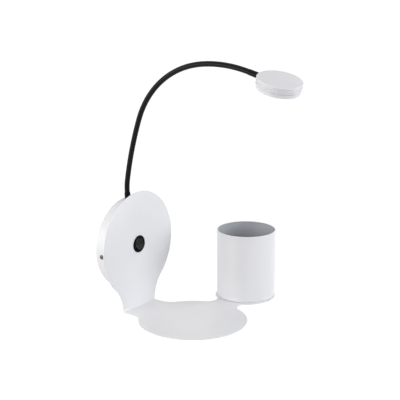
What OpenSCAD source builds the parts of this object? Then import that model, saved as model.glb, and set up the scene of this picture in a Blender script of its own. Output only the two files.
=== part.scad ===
// Wall lamp: one folded white sheet makes the round wall disc, the round shelf and the cup's plate.
// A shallow canopy behind the disc holds the wiring and carries a ribbed flexible neck,
// which ends in a flat round light head. A pen cup stands beside the shelf.
//
// Frame: the origin is on the wall plane, midway between the bracket's two slots and right behind
// the middle of the wall disc. +Z is up, -Y comes out of the wall and +X is to the right.

/* [Folded sheet] */
// Radius of the wall disc and of the shelf disc
disc_r = 71; // [66:1:86]
// Thickness of the sheet
sheet_t = 1.5; // [1:0.1:2.5]
// Height of the wall disc's middle above the top of the shelf
drop = 86.4; // [80:0.2:105]
// Distance from the front of the wall disc to the middle of the shelf
reach = 88.5; // [80:0.5:110]
// Width of the neck of the sheet where its hollow sides are narrowest
waist_w = 65; // [50:0.2:90]
// Inner radius of the fold
fold_r = 2; // [1:0.5:4]
// Radius of the hollow sides above the fold
wall_hollow_r = 50; // [30:1:80]
// Radius of the hollow sides between the fold and the shelf
shelf_hollow_r = 20; // [10:1:40]
// Radius of the hollow sides of the bridge to the cup's plate
bridge_hollow_r = 14; // [8:1:20]

/* [Pen cup] */
// Outer radius of the cup
cup_r = 40; // [30:0.5:46]
// Height of the cup
cup_h = 93; // [60:1:140]
// Wall of the cup
cup_wall = 0.8; // [0.6:0.1:2]
// Radius of the inward curl round the rim
rim_curl_r = 0.9; // [0.6:0.1:1.5]
// Distance from the middle of the shelf to the middle of the cup's plate
plate_side = 122; // [118:0.5:140]
// How far the cup stands off the middle of its plate, away from the shelf
cup_shift = 1.3; // [0:0.1:2]
// How far the plate under the cup stands out all round
plate_lip = 1; // [0:0.5:4]
// Radius of the cup's screw and of the welded studs
m4_r = 2; // [1.5:0.1:2.5]

/* [Canopy and wall bracket] */
// Radius of the canopy
canopy_r = 60; // [56:0.5:65]
// Depth of the canopy from the wall to the back of the sheet
canopy_depth = 21; // [20:0.5:32]
// Thickness of the canopy's metal
canopy_t = 1.2; // [0.8:0.1:2]
// How far the canopy is turned about its axis as it hangs
canopy_turn = 5.5; // [0:0.5:8]
// Distance between the two wall slots, middle to middle
slot_spacing = 70; // [64:1:76]
// Length of a wall slot, end to end
slot_len = 12; // [8:1:14]
// Width of a wall slot
slot_w = 5; // [4:0.5:6]
// Radius of the hole through the cable grommet
cable_r = 3.5; // [2.5:0.5:4]
// Height of the bracket strap
strap_h = 28; // [24:1:34]
// Thickness of the bracket's metal
strap_t = 1.5; // [1:0.1:2]
// Distance from the wall to the side screws
side_screw_y = 9.5; // [8:0.5:12]

/* [Rocker switch] */
// Radius of the bezel
bezel_r = 11.5; // [11:0.5:13]
// How far the bezel stands out of the sheet
bezel_proud = 1.8; // [1:0.1:3]
// Radius of the switch body behind the sheet
switch_body_r = 9.9; // [9.5:0.1:10.5]
// Depth of the switch body behind the sheet's front
switch_depth = 13.5; // [12.5:0.5:14]
// Radius of the ball that the rocker is cut from
rocker_r = 8.3; // [7:0.1:8.4]
// Tilt of the rocker to each side of its middle
rocker_tilt = 7; // [4:0.5:9]

/* [Flexible neck] */
// Outer radius of the neck over its ribs
neck_r = 3.3; // [3:0.1:4]
// Radius of the bore through the neck
neck_bore_r = 2.2; // [1.5:0.1:2.3]
// Depth of the grooves between the ribs
rib_depth = 0.35; // [0.2:0.05:0.5]
// Distance from the wall to the neck's root
root_y = 9.7; // [9:0.1:12]
// Length of the first bend, just above the lower ferrule
first_len = 18; // [14:1:30]
// Angle of the first bend
first_turn = 13; // [4:0.5:20]
// Length of the nearly straight stretch
stem_len = 89; // [60:1:130]
// Angle that the nearly straight stretch turns through
stem_turn = 9.5; // [4:0.5:20]
// Length of the crook
crook_len = 137.5; // [100:0.5:180]
// Angle of the crook
crook_turn = 59.5; // [40:0.5:80]
// Length of the last stretch before the head
last_len = 68; // [50:1:90]
// Angle of the last stretch
last_turn = 22; // [10:0.5:30]
// Number of joints that stand for the neck's bending
neck_joints = 9; // [9]
// Number of ribs from one joint to the next
ribs_per_joint = 16; // [10:1:17]

/* [Ferrules] */
// Wall of the lower ferrule round the neck
low_ferrule_wall = 0.6; // [0.5:0.05:1.5]
// Height of the lower ferrule above the canopy
low_ferrule_len = 10; // [8:1:16]
// Wall of the upper ferrule round the neck
top_ferrule_wall = 0.4; // [0.35:0.05:0.8]
// Length of the upper ferrule outside the head
top_ferrule_len = 15; // [12:1:24]

/* [Light head] */
// Radius of the head
head_r = 27.5; // [26:0.5:36]
// Height of the grooved housing
housing_h = 9.8; // [9.4:0.2:12]
// Height of the lens ring under the housing
ring_h = 3.8; // [3.4:0.2:6]
// Number of fine grooves round the head
groove_count = 3; // [1:1:3]
// Number of light source chips
chip_count = 8; // [4:1:9]

/* [Hidden] */
$fn = 96;

// Colours
white_paint = [0.9, 0.9, 0.91];
black_paint = [0.06, 0.06, 0.07];
black_plastic = [0.08, 0.08, 0.09];
bright_steel = [0.72, 0.72, 0.74];
brass = [0.8, 0.65, 0.3];

// Clearances
fit_gap = 0.05;       // round pieces seated in a hole
slip_gap = 0.1;       // pieces that slide into each other at assembly
swing_gap = 0.3;      // round a piece that turns
seat_gap = 0.02;      // between a flat piece and the curve it is pulled against
cut = 1;              // how far a cutting tool runs past the face it cuts
ease = 0.02;          // how far a hollow's arc crosses the edge that it blends into

// Standard fasteners: M3 and M4
dome_share = 0.72;    // top of a screw head's dome, as a share of the head's radius
m3_r = 1.5;
m3_head_r = 3;
m3_head_h = 1.9;
m4_head_r = 3.5;
m4_head_h = 2.2;
m4_nut_flats = 7;
m4_nut_h = 3.2;

// Planes of the sheet
front_y = -canopy_depth - sheet_t;
back_y = -canopy_depth;
fold_top_z = -drop + fold_r;
web_y = back_y + canopy_t;

// Widths of the sheet at its narrow places. The strip through the fold is cut to a round width.
width_step = 0.05;
strip_lap = 3;
waist_half = waist_w / 2;
wall_hollow_z = hollow_rise(disc_r, waist_half, wall_hollow_r);
hollow_left = max(0, wall_hollow_z + fold_top_z);
hollow_end = waist_half + wall_hollow_r - ease - sqrt(pow(wall_hollow_r, 2) - pow(hollow_left, 2));
fold_half = ceil((hollow_end + ease) / width_step) * width_step;
shelf_hollow_z = hollow_rise(disc_r, fold_half, shelf_hollow_r);
plate_r = cup_r + plate_lip;
cup_side = plate_side + cup_shift;
bridge_x = bridge_middle(disc_r + bridge_hollow_r - ease, plate_r + bridge_hollow_r - ease, plate_side);
bridge_y = sqrt(pow(disc_r + bridge_hollow_r - ease, 2) - pow(bridge_x, 2));

// Cup
cup_floor_z = -drop + cup_wall;
cap_nut_h = 5;
cap_nut_room = 0.2;

// Studs, screws and bracket
stud_x = 30;
stud_len = 6;
canopy_in_r = canopy_r - canopy_t;
strap_room = 0.5;
strap_r = canopy_in_r - strap_room;
tab_half = 7;
tab_x = sqrt(pow(strap_r, 2) - pow(tab_half, 2));
tab_len = 15;
insert_len = 3;
insert_r = 2.8;
side_screw_len = 8;
grommet_x = -17;
grommet_flange_r = 6.5;
grommet_flange_t = 1.5;
grommet_barrel_r = 5;

// Switch
pivot_y = front_y + 1;
rocker_face = 2.6;
rocker_back = 3.5;
pin_r = 0.8;
pin_half = 9.2;
bezel_hole_r = rocker_r + swing_gap;
body_room = 0.2;
body_hole_r = switch_body_r + body_room;
switch_back_y = front_y + switch_depth;
blade_z = 6;
blade_w = 4.8;
blade_t = 0.8;
blade_len = 4.5;
wing_out = 1;
wing_len = 5;
wing_w = 4;

// Driver, terminal block and earth point in the canopy
pad_t = 0.5;
driver_h = 24;
driver_w = 42;
driver_wall = 1.2;
driver_edge = 8.92;
driver_top_z = driver_h + driver_edge - sqrt(pow(canopy_in_r, 2) - pow(driver_w / 2, 2));
driver_depth = 13;
driver_floor_y = web_y + pad_t;
driver_open_y = driver_floor_y + driver_depth;
driver_mid_z = driver_top_z - driver_h / 2;
pillar_x = 18;
pillar_r = 2.2;
pillar_hole = 6;
driver_screw_len = 5;
rest_t = 2;
board_t = 1.6;
board_w = 29;
board_h = 20;
board_lift = 1.6;
board_y = driver_floor_y + driver_wall + board_lift;
core_low = [-13, -6];
core_size = [13, 6, 13];
cell_at = [7, 3];
cell_r = 4;
choke_at = [7, -6];
choke_r = 2.5;
choke_h = 5;
block_x = -30;
block_z = 20;
block_w = 26;
block_h = 14;
block_depth = 13.8;
pole_pitch = 8.5;
pole_edge = 4.5;
pole_first_x = block_x + pole_edge;
pole_depth = 9.8;
pole_y = web_y + pole_depth;
pole_r = 1.6;
clamp_r = 1.7;
clamp_sunk = 0.5;
earth_x = 14;
earth_z = 24;
tag_r = 4.2;
tag_t = 0.8;
lead_r = 0.9;
pair_r = 1.2;
pair_x = 16;
return_x = 10;
supply_x = -14;
blade_lead_at = 2.5;
lead_rings = 10;
lead_sides = 8;

// Neck: arcs that follow each other, with the heading measured from straight up towards the room
bend_len = [first_len, stem_len, crook_len, last_len];
bend_turn = [first_turn, stem_turn, crook_turn, last_turn];
flex_len = first_len + stem_len + crook_len + last_len;
neck_base_z = canopy_r + low_ferrule_len;
joint_pitch = flex_len / neck_joints;
rib_pitch = joint_pitch / ribs_per_joint;
neck_sides = 8;
socket_r = neck_r + swing_gap + fit_gap;
socket_rim = sqrt(pow(socket_r, 2) - pow(neck_r, 2));
ferrule_grip = 8;
bore_rings = 4;

// Ferrules
low_ferrule_r = neck_r + fit_gap + low_ferrule_wall;
top_ferrule_r = neck_r + fit_gap + top_ferrule_wall;
ferrule_edge = 0.5;
stem_wall = 0.8;
stem_r = neck_bore_r + stem_wall;
stem_below = 8;
root_nut_rim = 2;
root_washer_r = stem_r + root_nut_rim + ferrule_edge;
root_washer_t = 0.8;
root_nut_flats = 2 * (stem_r + root_nut_rim);
root_nut_h = 3;
root_seat_z = sqrt(pow(canopy_in_r, 2) - pow(root_washer_r, 2)) - seat_gap;
stub_r = 2.5;
stub_bore_r = 1.5;

// Head, in its own frame: the origin is the middle of its top, +Z its upper side, +Y towards the neck
head_chamfer = 1.2;
head_wall = 2.7;
head_web = 3;
neck_axis_drop = 5.8;
groove_w = 0.9;
groove_deep = 0.7;
groove_pitch = 2.3;
groove_first = 1.9;
head_in_r = head_r - head_wall;
boss_w = 9;
boss_in = 10;
boss_face_y = head_in_r - boss_in;
grub_r = 1.5;
grub_y = boss_face_y + boss_in / 2;
stub_flat = 1.6;
heat_pad_t = 0.5;
board_room = 3.8;
light_board_r = head_in_r - board_room;
chip_ring_r = 7.5;
chip_w = 3;
chip_h = 0.7;
board_screw_edge = 3;
board_screw_ring = light_board_r - board_screw_edge;
board_screw_turns = [200, 270, 340];
board_screw_bite = 1.5;
board_screw_r = 1.2;
board_screw_head_r = 2.2;
board_screw_head_h = 1.4;
board_top = -head_web - heat_pad_t;
board_under = board_top - board_t;
notch_w = boss_w + 2;
wire_reach = 5;
notch_y = boss_face_y - wire_reach;
reflector_in_r = 11;
reflector_t = 0.6;
reflector_flange = 1.5;
spigot_t = 0.8;
spigot_h = 2;
diffuser_t = 1.6;
lens_lip = 0.9;
lens_lip_w = 1.5;
shadow_gap_h = 0.8;
shadow_gap_deep = 1.6;
shadow_gap_lip = 0.6;
shadow_gap_low = -housing_h + shadow_gap_lip;
shadow_gap_r = head_r - shadow_gap_deep;
ring_step = 1.1;
ring_edge = 0.5;
ring_r = head_r - ring_step;
ring_bottom = -housing_h - ring_h;
ring_bore_r = head_in_r - slip_gap - spigot_t;
diffuser_r = ring_bore_r - slip_gap;
diffuser_top = ring_bottom + lens_lip + diffuser_t;
head_wire_r = 0.6;

// ---- Functions ----

// Distance from a disc's middle to the middle of a hollow that touches the disc and a straight side
function hollow_rise(r, half, hollow) = sqrt(pow(r + hollow - ease, 2) - pow(half + hollow - ease, 2));
// Place, along the line between two discs, of a point at distances a and b from their middles
function bridge_middle(a, b, apart) = (pow(apart, 2) + pow(a, 2) - pow(b, 2)) / (2 * apart);
// A pose on the neck is [y, z, heading] in the plane of the neck
function along_arc(p, s, len, turn) =
    let (r = len * 180 / (turn * PI), a = p[2] + turn * s / len)
    [p[0] + r * (cos(a) - cos(p[2])), p[1] + r * (sin(a) - sin(p[2])), a];
function arc_start(i) =
    i == 0 ? [-root_y, neck_base_z, 0]
    : along_arc(arc_start(i - 1), bend_len[i - 1], bend_len[i - 1], bend_turn[i - 1]);
function straight_from(p, s) = [p[0] - s * sin(p[2]), p[1] + s * cos(p[2]), p[2]];
function neck_pose(s, i = 0) =
    s < 0 || i == len(bend_len) ? straight_from(arc_start(i), s)
    : s <= bend_len[i] ? along_arc(arc_start(i), s, bend_len[i], bend_turn[i])
    : neck_pose(s - bend_len[i], i + 1);
// A ring of the neck stands at arc length s, moved by ahead along the heading there
function neck_ring(s, ahead, r) =
    let (p = straight_from(neck_pose(s), ahead))
    [for (i = [0 : neck_sides - 1])
        let (a = (i + 0.5) * 360 / neck_sides)
        [r * cos(a), p[0] + r * sin(a) * cos(p[2]), p[1] + r * sin(a) * sin(p[2])]];
function joint_s(k) = (k - 0.5) * joint_pitch;
function socket_ahead(r) = sqrt(pow(socket_r, 2) - pow(r, 2));
function ball_ahead(r) = sqrt(pow(neck_r, 2) - pow(r, 2));
// Both ways round a grid of rings, so that the surface closes on itself
function grid_faces(rings, sides) = [
    for (i = [0 : rings - 1], j = [0 : sides - 1], half = [0, 1])
    let (a = i * sides, b = ((i + 1) % rings) * sides, k = (j + 1) % sides)
    half == 0 ? [a + j, b + j, b + k] : [a + j, b + k, a + k]
];
// A cubic curve through two ends with their handles
function curve_at(c, t) =
    pow(1 - t, 3) * c[0] + 3 * t * pow(1 - t, 2) * c[1] + 3 * pow(t, 2) * (1 - t) * c[2] + pow(t, 3) * c[3];
function curve_slope(c, t) =
    3 * (pow(1 - t, 2) * (c[1] - c[0]) + 2 * t * (1 - t) * (c[2] - c[1]) + pow(t, 2) * (c[3] - c[2]));
function lead_ring(c, t, r) =
    let (p = curve_at(c, t), d = curve_slope(c, t) / norm(curve_slope(c, t)),
        u = cross(d, [0, 1, 0]) / norm(cross(d, [0, 1, 0])), v = cross(d, u))
    [for (i = [0 : lead_sides - 1]) p + r * (cos(i * 360 / lead_sides) * u + sin(i * 360 / lead_sides) * v)];

// ---- Shared shapes ----

// A cylinder along Y from y0 to y1
module rod_y(r, y0, y1) {
    translate([0, y0, 0]) rotate([-90, 0, 0]) cylinder(r = r, h = y1 - y0);
}
// A cylinder along X from x0 to x1
module rod_x(r, x0, x1) {
    translate([x0, 0, 0]) rotate([0, 90, 0]) cylinder(r = r, h = x1 - x0);
}
// A box between two corners
module box(low, high) {
    translate(low) cube(high - low);
}
// A hexagon nut standing on Z = 0
module nut(flats, h, hole_r) {
    difference() {
        cylinder(r = flats / sqrt(3), h = h, $fn = 6);
        translate([0, 0, -cut]) cylinder(r = hole_r, h = h + 2 * cut);
    }
}
// A screw with a domed head: the head stands up from Z = 0 and the shank goes down
module pan_screw(r, len, head_r, head_h) {
    translate([0, 0, -len]) cylinder(r = r, h = len + head_h / 2);
    cylinder(r = head_r, h = head_h / 2);
    translate([0, 0, head_h / 2]) cylinder(r1 = head_r, r2 = head_r * dome_share, h = head_h / 2);
}
// Pieces on the canopy are turned with it
module on_canopy() {
    rotate([0, -canopy_turn, 0]) children();
}
// The sheet's flats are drawn in 2D and stood up: 2D Y is Z here
module stand_up(y0, y1) {
    translate([0, y1, 0]) rotate([90, 0, 0]) linear_extrude(y1 - y0) children();
}
// At the end of the flexible stretch, with +Z along the neck and +Y on the head's upper side
module at_neck_end() {
    p = neck_pose(flex_len);
    on_canopy() translate([0, p[0], p[1]]) rotate([p[2], 0, 0]) children();
}
// In the head's own frame
module in_head() {
    at_neck_end() translate([0, neck_axis_drop, top_ferrule_len + head_r]) rotate([-90, 0, 0]) children();
}

// ---- Folded sheet ----

// A disc with a hollow-sided neck that narrows to the strip through the fold and ends there
module necked_disc(r, half, hollow, rise, end) {
    touch = r / (r + hollow);
    side_x = half + hollow - ease;
    low = min(rise, end + cut);
    strip_top = strip_lap - min(rise, end);
    intersection() {
        union() {
            circle(r = r);
            difference() {
                polygon([
                    [-side_x * touch, -rise * touch], [side_x * touch, -rise * touch],
                    [side_x, -low], [-side_x, -low]
                ]);
                for (side = [-1, 1])
                    translate([side * side_x, -rise]) circle(r = hollow);
            }
            translate([-fold_half, -end - cut]) square([2 * fold_half, strip_top + end + cut]);
        }
        translate([-2 * r, -end]) square([4 * r, 3 * r + end]);
    }
}
// The cup's plate and its bridge, seen from above with the shelf's middle at the origin
module cup_plate_outline() {
    touch_shelf = disc_r / (disc_r + bridge_hollow_r);
    touch_plate = plate_r / (plate_r + bridge_hollow_r);
    far_x = plate_side + (bridge_x - plate_side) * touch_plate;
    translate([plate_side, 0]) circle(r = plate_r);
    difference() {
        polygon([
            [bridge_x * touch_shelf, bridge_y * touch_shelf], [bridge_x, bridge_y], [far_x, bridge_y * touch_plate],
            [far_x, -bridge_y * touch_plate], [bridge_x, -bridge_y], [bridge_x * touch_shelf, -bridge_y * touch_shelf]
        ]);
        for (side = [-1, 1])
            translate([bridge_x, side * bridge_y]) circle(r = bridge_hollow_r);
    }
}
module folded_sheet() {
    color(white_paint) {
        difference() {
            union() {
                stand_up(front_y, back_y)
                    necked_disc(disc_r, waist_half, wall_hollow_r, wall_hollow_z, -fold_top_z);
                translate([-fold_half, front_y - fold_r, fold_top_z]) rotate([0, 90, 0])
                    rotate_extrude(angle = 90)
                        translate([fold_r, 0]) square([sheet_t, 2 * fold_half]);
                translate([0, front_y - reach, -drop - sheet_t])
                    linear_extrude(sheet_t) {
                        mirror([0, 1, 0])
                            necked_disc(disc_r, fold_half, shelf_hollow_r, shelf_hollow_z, reach - fold_r);
                        cup_plate_outline();
                    }
                for (side = [-1, 1])
                    translate([side * stud_x, 0, 0]) rod_y(m4_r, back_y - sheet_t / 2, back_y + stud_len);
            }
            rod_y(body_hole_r, front_y - cut, back_y + cut);
            translate([cup_side, front_y - reach, -drop - sheet_t - cut])
                cylinder(r = m4_r + slip_gap, h = sheet_t + 2 * cut);
        }
    }
}

// ---- Canopy and wall bracket ----

module canopy() {
    color(white_paint)
        difference() {
            rod_y(canopy_r, back_y, 0);
            rod_y(canopy_in_r, web_y, cut);
            rod_y(body_hole_r, back_y - cut, web_y + cut);
            for (side = [-1, 1])
                translate([side * stud_x, 0, 0]) rod_y(m4_r + slip_gap, back_y - cut, web_y + cut);
            on_canopy() {
                translate([0, -root_y, canopy_in_r - 2 * cut])
                    cylinder(r = stem_r + slip_gap, h = canopy_t + 4 * cut);
                for (side = [0, 180])
                    rotate([0, side, 0]) translate([0, -side_screw_y, 0])
                        rod_x(m3_r + slip_gap, canopy_in_r - cut, canopy_r + cut);
                translate([earth_x, 0, earth_z]) rod_y(m4_r + fit_gap, back_y - cut, web_y + cut);
            }
        }
}
module wall_bracket() {
    color(bright_steel)
        difference() {
            on_canopy()
                intersection() {
                    rod_y(strap_r, -strap_t, 0);
                    box([-tab_x, -strap_t, -strap_h / 2], [tab_x, 0, strap_h / 2]);
                }
            for (side = [-1, 1]) {
                box([side * slot_spacing / 2 - (slot_len - slot_w) / 2, -strap_t - cut, -slot_w / 2],
                    [side * slot_spacing / 2 + (slot_len - slot_w) / 2, cut, slot_w / 2]);
                for (end = [-1, 1])
                    translate([side * slot_spacing / 2 + end * (slot_len - slot_w) / 2, 0, 0])
                        rod_y(slot_w / 2, -strap_t - cut, cut);
            }
            translate([grommet_x, 0, 0]) rod_y(grommet_barrel_r, -strap_t - cut, cut);
        }
}
// Tabs welded on the strap's ends, for the canopy's side screws
module bracket_tabs() {
    color(bright_steel)
        on_canopy()
            for (side = [0, 180])
                rotate([0, side, 0])
                    difference() {
                        box([tab_x - strap_t, -tab_len, -tab_half], [tab_x, -strap_t, tab_half]);
                        translate([0, -side_screw_y, 0]) rod_x(m3_r + slip_gap, tab_x - strap_t - cut, tab_x + cut);
                    }
}
module bracket_inserts() {
    color(bright_steel)
        on_canopy()
            for (side = [0, 180])
                rotate([0, side, 0]) translate([0, -side_screw_y, 0])
                    difference() {
                        rod_x(insert_r, tab_x - strap_t - insert_len, tab_x - strap_t);
                        rod_x(m3_r + fit_gap, tab_x - strap_t - insert_len - cut, tab_x);
                    }
}
module side_screws() {
    color(bright_steel)
        on_canopy()
            for (side = [0, 180])
                rotate([0, side, 0]) translate([canopy_r, -side_screw_y, 0])
                    rotate([0, 90, 0]) pan_screw(m3_r, side_screw_len, m3_head_r, m3_head_h);
}
module cable_grommet() {
    color(black_plastic)
        translate([grommet_x, 0, 0])
            difference() {
                union() {
                    rod_y(grommet_flange_r, -strap_t - grommet_flange_t, -strap_t);
                    rod_y(grommet_barrel_r - fit_gap, -strap_t - grommet_flange_t / 2, 0);
                }
                rod_y(cable_r, -strap_t - grommet_flange_t - cut, cut);
            }
}
module sheet_nuts() {
    color(bright_steel)
        for (side = [-1, 1])
            translate([side * stud_x, web_y, 0]) rotate([-90, 0, 0]) nut(m4_nut_flats, m4_nut_h, m4_r + fit_gap);
}

// ---- Rocker switch ----

module switch_housing() {
    color(black_plastic)
        difference() {
            union() {
                rod_y(bezel_r - bezel_proud / 2, front_y - bezel_proud, front_y);
                translate([0, front_y, 0]) rotate([90, 0, 0])
                    rotate_extrude() intersection() {
                        translate([bezel_r - bezel_proud, 0]) circle(r = bezel_proud);
                        square([bezel_r, bezel_proud]);
                    }
                rod_y(switch_body_r, front_y - bezel_proud / 2, switch_back_y);
                for (side = [-1, 1])
                    box([side * switch_body_r - wing_out, web_y + slip_gap, -wing_w / 2],
                        [side * switch_body_r + wing_out, web_y + slip_gap + wing_len, wing_w / 2]);
            }
            rod_y(bezel_hole_r, front_y - bezel_proud - cut, pivot_y + bezel_hole_r);
            translate([0, pivot_y, 0]) rod_x(pin_r + fit_gap / 2, -pin_half, pin_half);
        }
}
module switch_blades() {
    color(brass)
        for (side = [-1, 1])
            box([-blade_w / 2, switch_back_y, side * blade_z - blade_t / 2],
                [blade_w / 2, switch_back_y + blade_len, side * blade_z + blade_t / 2]);
}
module rocker_pin() {
    color(bright_steel)
        translate([0, pivot_y, 0]) rod_x(pin_r, -pin_half, pin_half);
}
// The rocker is a ball cut off behind, with a shallow roof-shaped hollow across its front
module switch_rocker() {
    color(black_plastic)
        translate([0, pivot_y, 0]) rotate([-rocker_tilt, 0, 0])
            difference() {
                sphere(r = rocker_r);
                box([-2 * rocker_r, rocker_back, -2 * rocker_r], [2 * rocker_r, 2 * rocker_r, 2 * rocker_r]);
                translate([0, -rocker_face, 0])
                    for (side = [0, 1])
                        mirror([0, 0, side]) rotate([rocker_tilt, 0, 0])
                            box([-2 * rocker_r, -2 * rocker_r, 0], [2 * rocker_r, 0, 2 * rocker_r]);
                rod_x(pin_r + fit_gap, -2 * rocker_r, 2 * rocker_r);
            }
}

// ---- Driver, terminals and leads in the canopy ----

module driver_pad() {
    color("dimgray")
        on_canopy() box([-driver_w / 3, web_y, driver_mid_z - driver_h / 3],
            [driver_w / 3, driver_floor_y, driver_mid_z + driver_h / 3]);
}
module driver_tray() {
    color("whitesmoke")
        on_canopy() difference() {
            union() {
                difference() {
                    box([-driver_w / 2, driver_floor_y, driver_top_z - driver_h],
                        [driver_w / 2, driver_open_y, driver_top_z]);
                    box([-driver_w / 2 + driver_wall, driver_floor_y + driver_wall,
                            driver_top_z - driver_h + driver_wall],
                        [driver_w / 2 - driver_wall, driver_open_y + cut, driver_top_z - driver_wall]);
                }
                for (side = [-1, 1]) {
                    translate([side * pillar_x, 0, driver_mid_z])
                        rod_y(pillar_r, driver_floor_y + driver_wall / 2, driver_open_y);
                    box([side * board_w / 3 - rest_t / 2, driver_floor_y + driver_wall / 2,
                            driver_mid_z - board_h / 3],
                        [side * board_w / 3 + rest_t / 2, board_y, driver_mid_z + board_h / 3]);
                }
            }
            for (side = [-1, 1])
                translate([side * pillar_x, 0, driver_mid_z])
                    rod_y(board_screw_r + fit_gap, driver_open_y - pillar_hole, driver_open_y + cut);
        }
}
module driver_board() {
    color("seagreen")
        on_canopy() box([-board_w / 2, board_y, driver_mid_z - board_h / 2],
            [board_w / 2, board_y + board_t, driver_mid_z + board_h / 2]);
}
// Transformer, smoothing capacitor and input choke stand on the board
module driver_parts() {
    top = board_y + board_t;
    on_canopy() {
        color("goldenrod") translate([core_low[0], top, driver_mid_z + core_low[1]]) cube(core_size);
        color("midnightblue") translate([cell_at[0], 0, driver_mid_z + cell_at[1]])
            rod_y(cell_r, top, top + core_size[1]);
        color("firebrick") translate([choke_at[0], 0, driver_mid_z + choke_at[1]])
            rod_y(choke_r, top, top + choke_h);
    }
}
module driver_cover() {
    color("whitesmoke")
        on_canopy() difference() {
            box([-driver_w / 2, driver_open_y, driver_top_z - driver_h],
                [driver_w / 2, driver_open_y + driver_wall, driver_top_z]);
            for (side = [-1, 1])
                translate([side * pillar_x, 0, driver_mid_z])
                    rod_y(board_screw_r + slip_gap, driver_open_y - cut, driver_open_y + driver_wall + cut);
        }
}
module driver_screws() {
    color(bright_steel)
        on_canopy()
            for (side = [-1, 1])
                translate([side * pillar_x, driver_open_y + driver_wall, driver_mid_z]) rotate([-90, 0, 0])
                    pan_screw(board_screw_r, driver_screw_len, board_screw_head_r, board_screw_head_h);
}
module terminal_block() {
    color("ivory")
        on_canopy() difference() {
            box([block_x, web_y, block_z], [block_x + block_w, web_y + block_depth, block_z + block_h]);
            for (pole = [0 : 2])
                translate([pole_first_x + pole * pole_pitch, 0, 0]) {
                    translate([0, pole_y, block_z - cut]) cylinder(r = pole_r, h = block_h + 2 * cut);
                    for (side = [-1, 1])
                        translate([0, 0, block_z + block_h / 2 + side * block_h / 4])
                            rod_y(clamp_r, pole_y, web_y + block_depth + cut);
                }
        }
}
module clamp_screws() {
    color(bright_steel)
        on_canopy()
            for (pole = [0 : 2], side = [-1, 1])
                translate([pole_first_x + pole * pole_pitch, 0, block_z + block_h / 2 + side * block_h / 4])
                    rod_y(clamp_r - fit_gap, pole_y + pole_r + slip_gap, web_y + block_depth - clamp_sunk);
}
module earth_tag() {
    color(brass)
        on_canopy() difference() {
            union() {
                translate([earth_x, 0, earth_z]) rod_y(tag_r, web_y, web_y + tag_t);
                box([earth_x - 1, web_y, earth_z - tag_r - 3], [earth_x + 1, web_y + tag_t, earth_z - tag_r / 2]);
            }
            translate([earth_x, 0, earth_z]) rod_y(m4_r + fit_gap, web_y - cut, web_y + tag_t + cut);
        }
}
module earth_screw() {
    color(bright_steel)
        on_canopy() translate([earth_x, web_y + tag_t, earth_z]) rotate([-90, 0, 0])
            pan_screw(m4_r, canopy_t + tag_t, m4_head_r, m4_head_h);
}
// One lead: rings along a curve, closed at both ends
module lead(c, r) {
    rings = [for (i = [0 : lead_rings]) lead_ring(c, i / lead_rings, r)];
    points = [for (ring = rings) each ring];
    last = lead_rings * lead_sides;
    polyhedron(points, concat(
        [for (i = [0 : lead_rings - 1], j = [0 : lead_sides - 1], half = [0, 1])
            let (a = i * lead_sides, b = (i + 1) * lead_sides, k = (j + 1) % lead_sides)
            half == 0 ? [a + j, b + k, b + j] : [a + j, a + k, b + k]],
        [[for (j = [lead_sides - 1 : -1 : 0]) j]],
        [[for (j = [0 : lead_sides - 1]) last + j]]
    ));
}
module canopy_leads() {
    pole_x = [for (pole = [0 : 2]) pole_first_x + pole * pole_pitch];
    below = block_z - slip_gap;
    blade_y = switch_back_y + blade_lead_at;
    blade_edge = blade_w / 2 + slip_gap;
    driver_in = driver_top_z + slip_gap;
    stem_end = canopy_r - stem_below - slip_gap;
    tag_end = [earth_x - 1 - slip_gap - lead_r, web_y + lead_r + slip_gap, earth_z - tag_r - 1];
    color("saddlebrown")
        on_canopy() {
            lead([[pole_x[1], pole_y, below], [pole_x[1], pole_y, below / 2],
                [-4 * blade_edge, blade_y, blade_z], [-blade_edge, blade_y, blade_z]], lead_r);
            lead([[blade_edge, blade_y, -blade_z], [3 * blade_edge, blade_y, -blade_z],
                [return_x, pole_y, driver_in * 2 / 3], [return_x, pole_y, driver_in]], lead_r);
        }
    color("royalblue")
        on_canopy() lead([[pole_x[0], pole_y, below], [pole_x[0], pole_y, below / 5],
            [supply_x, pole_y, driver_in / 3], [supply_x, pole_y, driver_in]], lead_r);
    color("yellowgreen")
        on_canopy() lead([[pole_x[2], pole_y, below], [pole_x[2], pole_y, below * 3 / 4],
            [earth_x / 4, tag_end[1] + 1, below * 2 / 3], tag_end], lead_r);
    color("black")
        on_canopy() lead([[pair_x, pole_y, driver_in], [pair_x, pole_y, below / 2],
            [0, -root_y, below], [0, -root_y, stem_end]], pair_r);
}

// ---- Neck ----

module lower_ferrule() {
    color(black_paint)
        on_canopy() difference() {
            union() {
                difference() {
                    translate([0, -root_y, canopy_r - 1]) {
                        cylinder(r = low_ferrule_r, h = low_ferrule_len + 1 - ferrule_edge);
                        translate([0, 0, low_ferrule_len + 1 - ferrule_edge])
                            cylinder(r1 = low_ferrule_r, r2 = low_ferrule_r - ferrule_edge, h = ferrule_edge);
                    }
                    rod_y(canopy_r, back_y, cut);
                }
                translate([0, -root_y, canopy_r - stem_below]) cylinder(r = stem_r, h = stem_below + 1);
            }
            translate([0, -root_y, canopy_r - stem_below - cut])
                cylinder(r = neck_bore_r, h = stem_below + low_ferrule_len);
            translate([0, -root_y, neck_base_z - ferrule_grip])
                cylinder(r = neck_r + fit_gap, h = ferrule_grip + cut);
        }
}
module root_washer() {
    color(bright_steel)
        on_canopy() translate([0, -root_y, root_seat_z - root_washer_t])
            difference() {
                cylinder(r = root_washer_r, h = root_washer_t);
                translate([0, 0, -cut]) cylinder(r = stem_r + slip_gap, h = root_washer_t + 2 * cut);
            }
}
module root_nut() {
    color(bright_steel)
        on_canopy() translate([0, -root_y, root_seat_z - root_washer_t - root_nut_h])
            nut(root_nut_flats, root_nut_h, stem_r + fit_gap);
}
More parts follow.
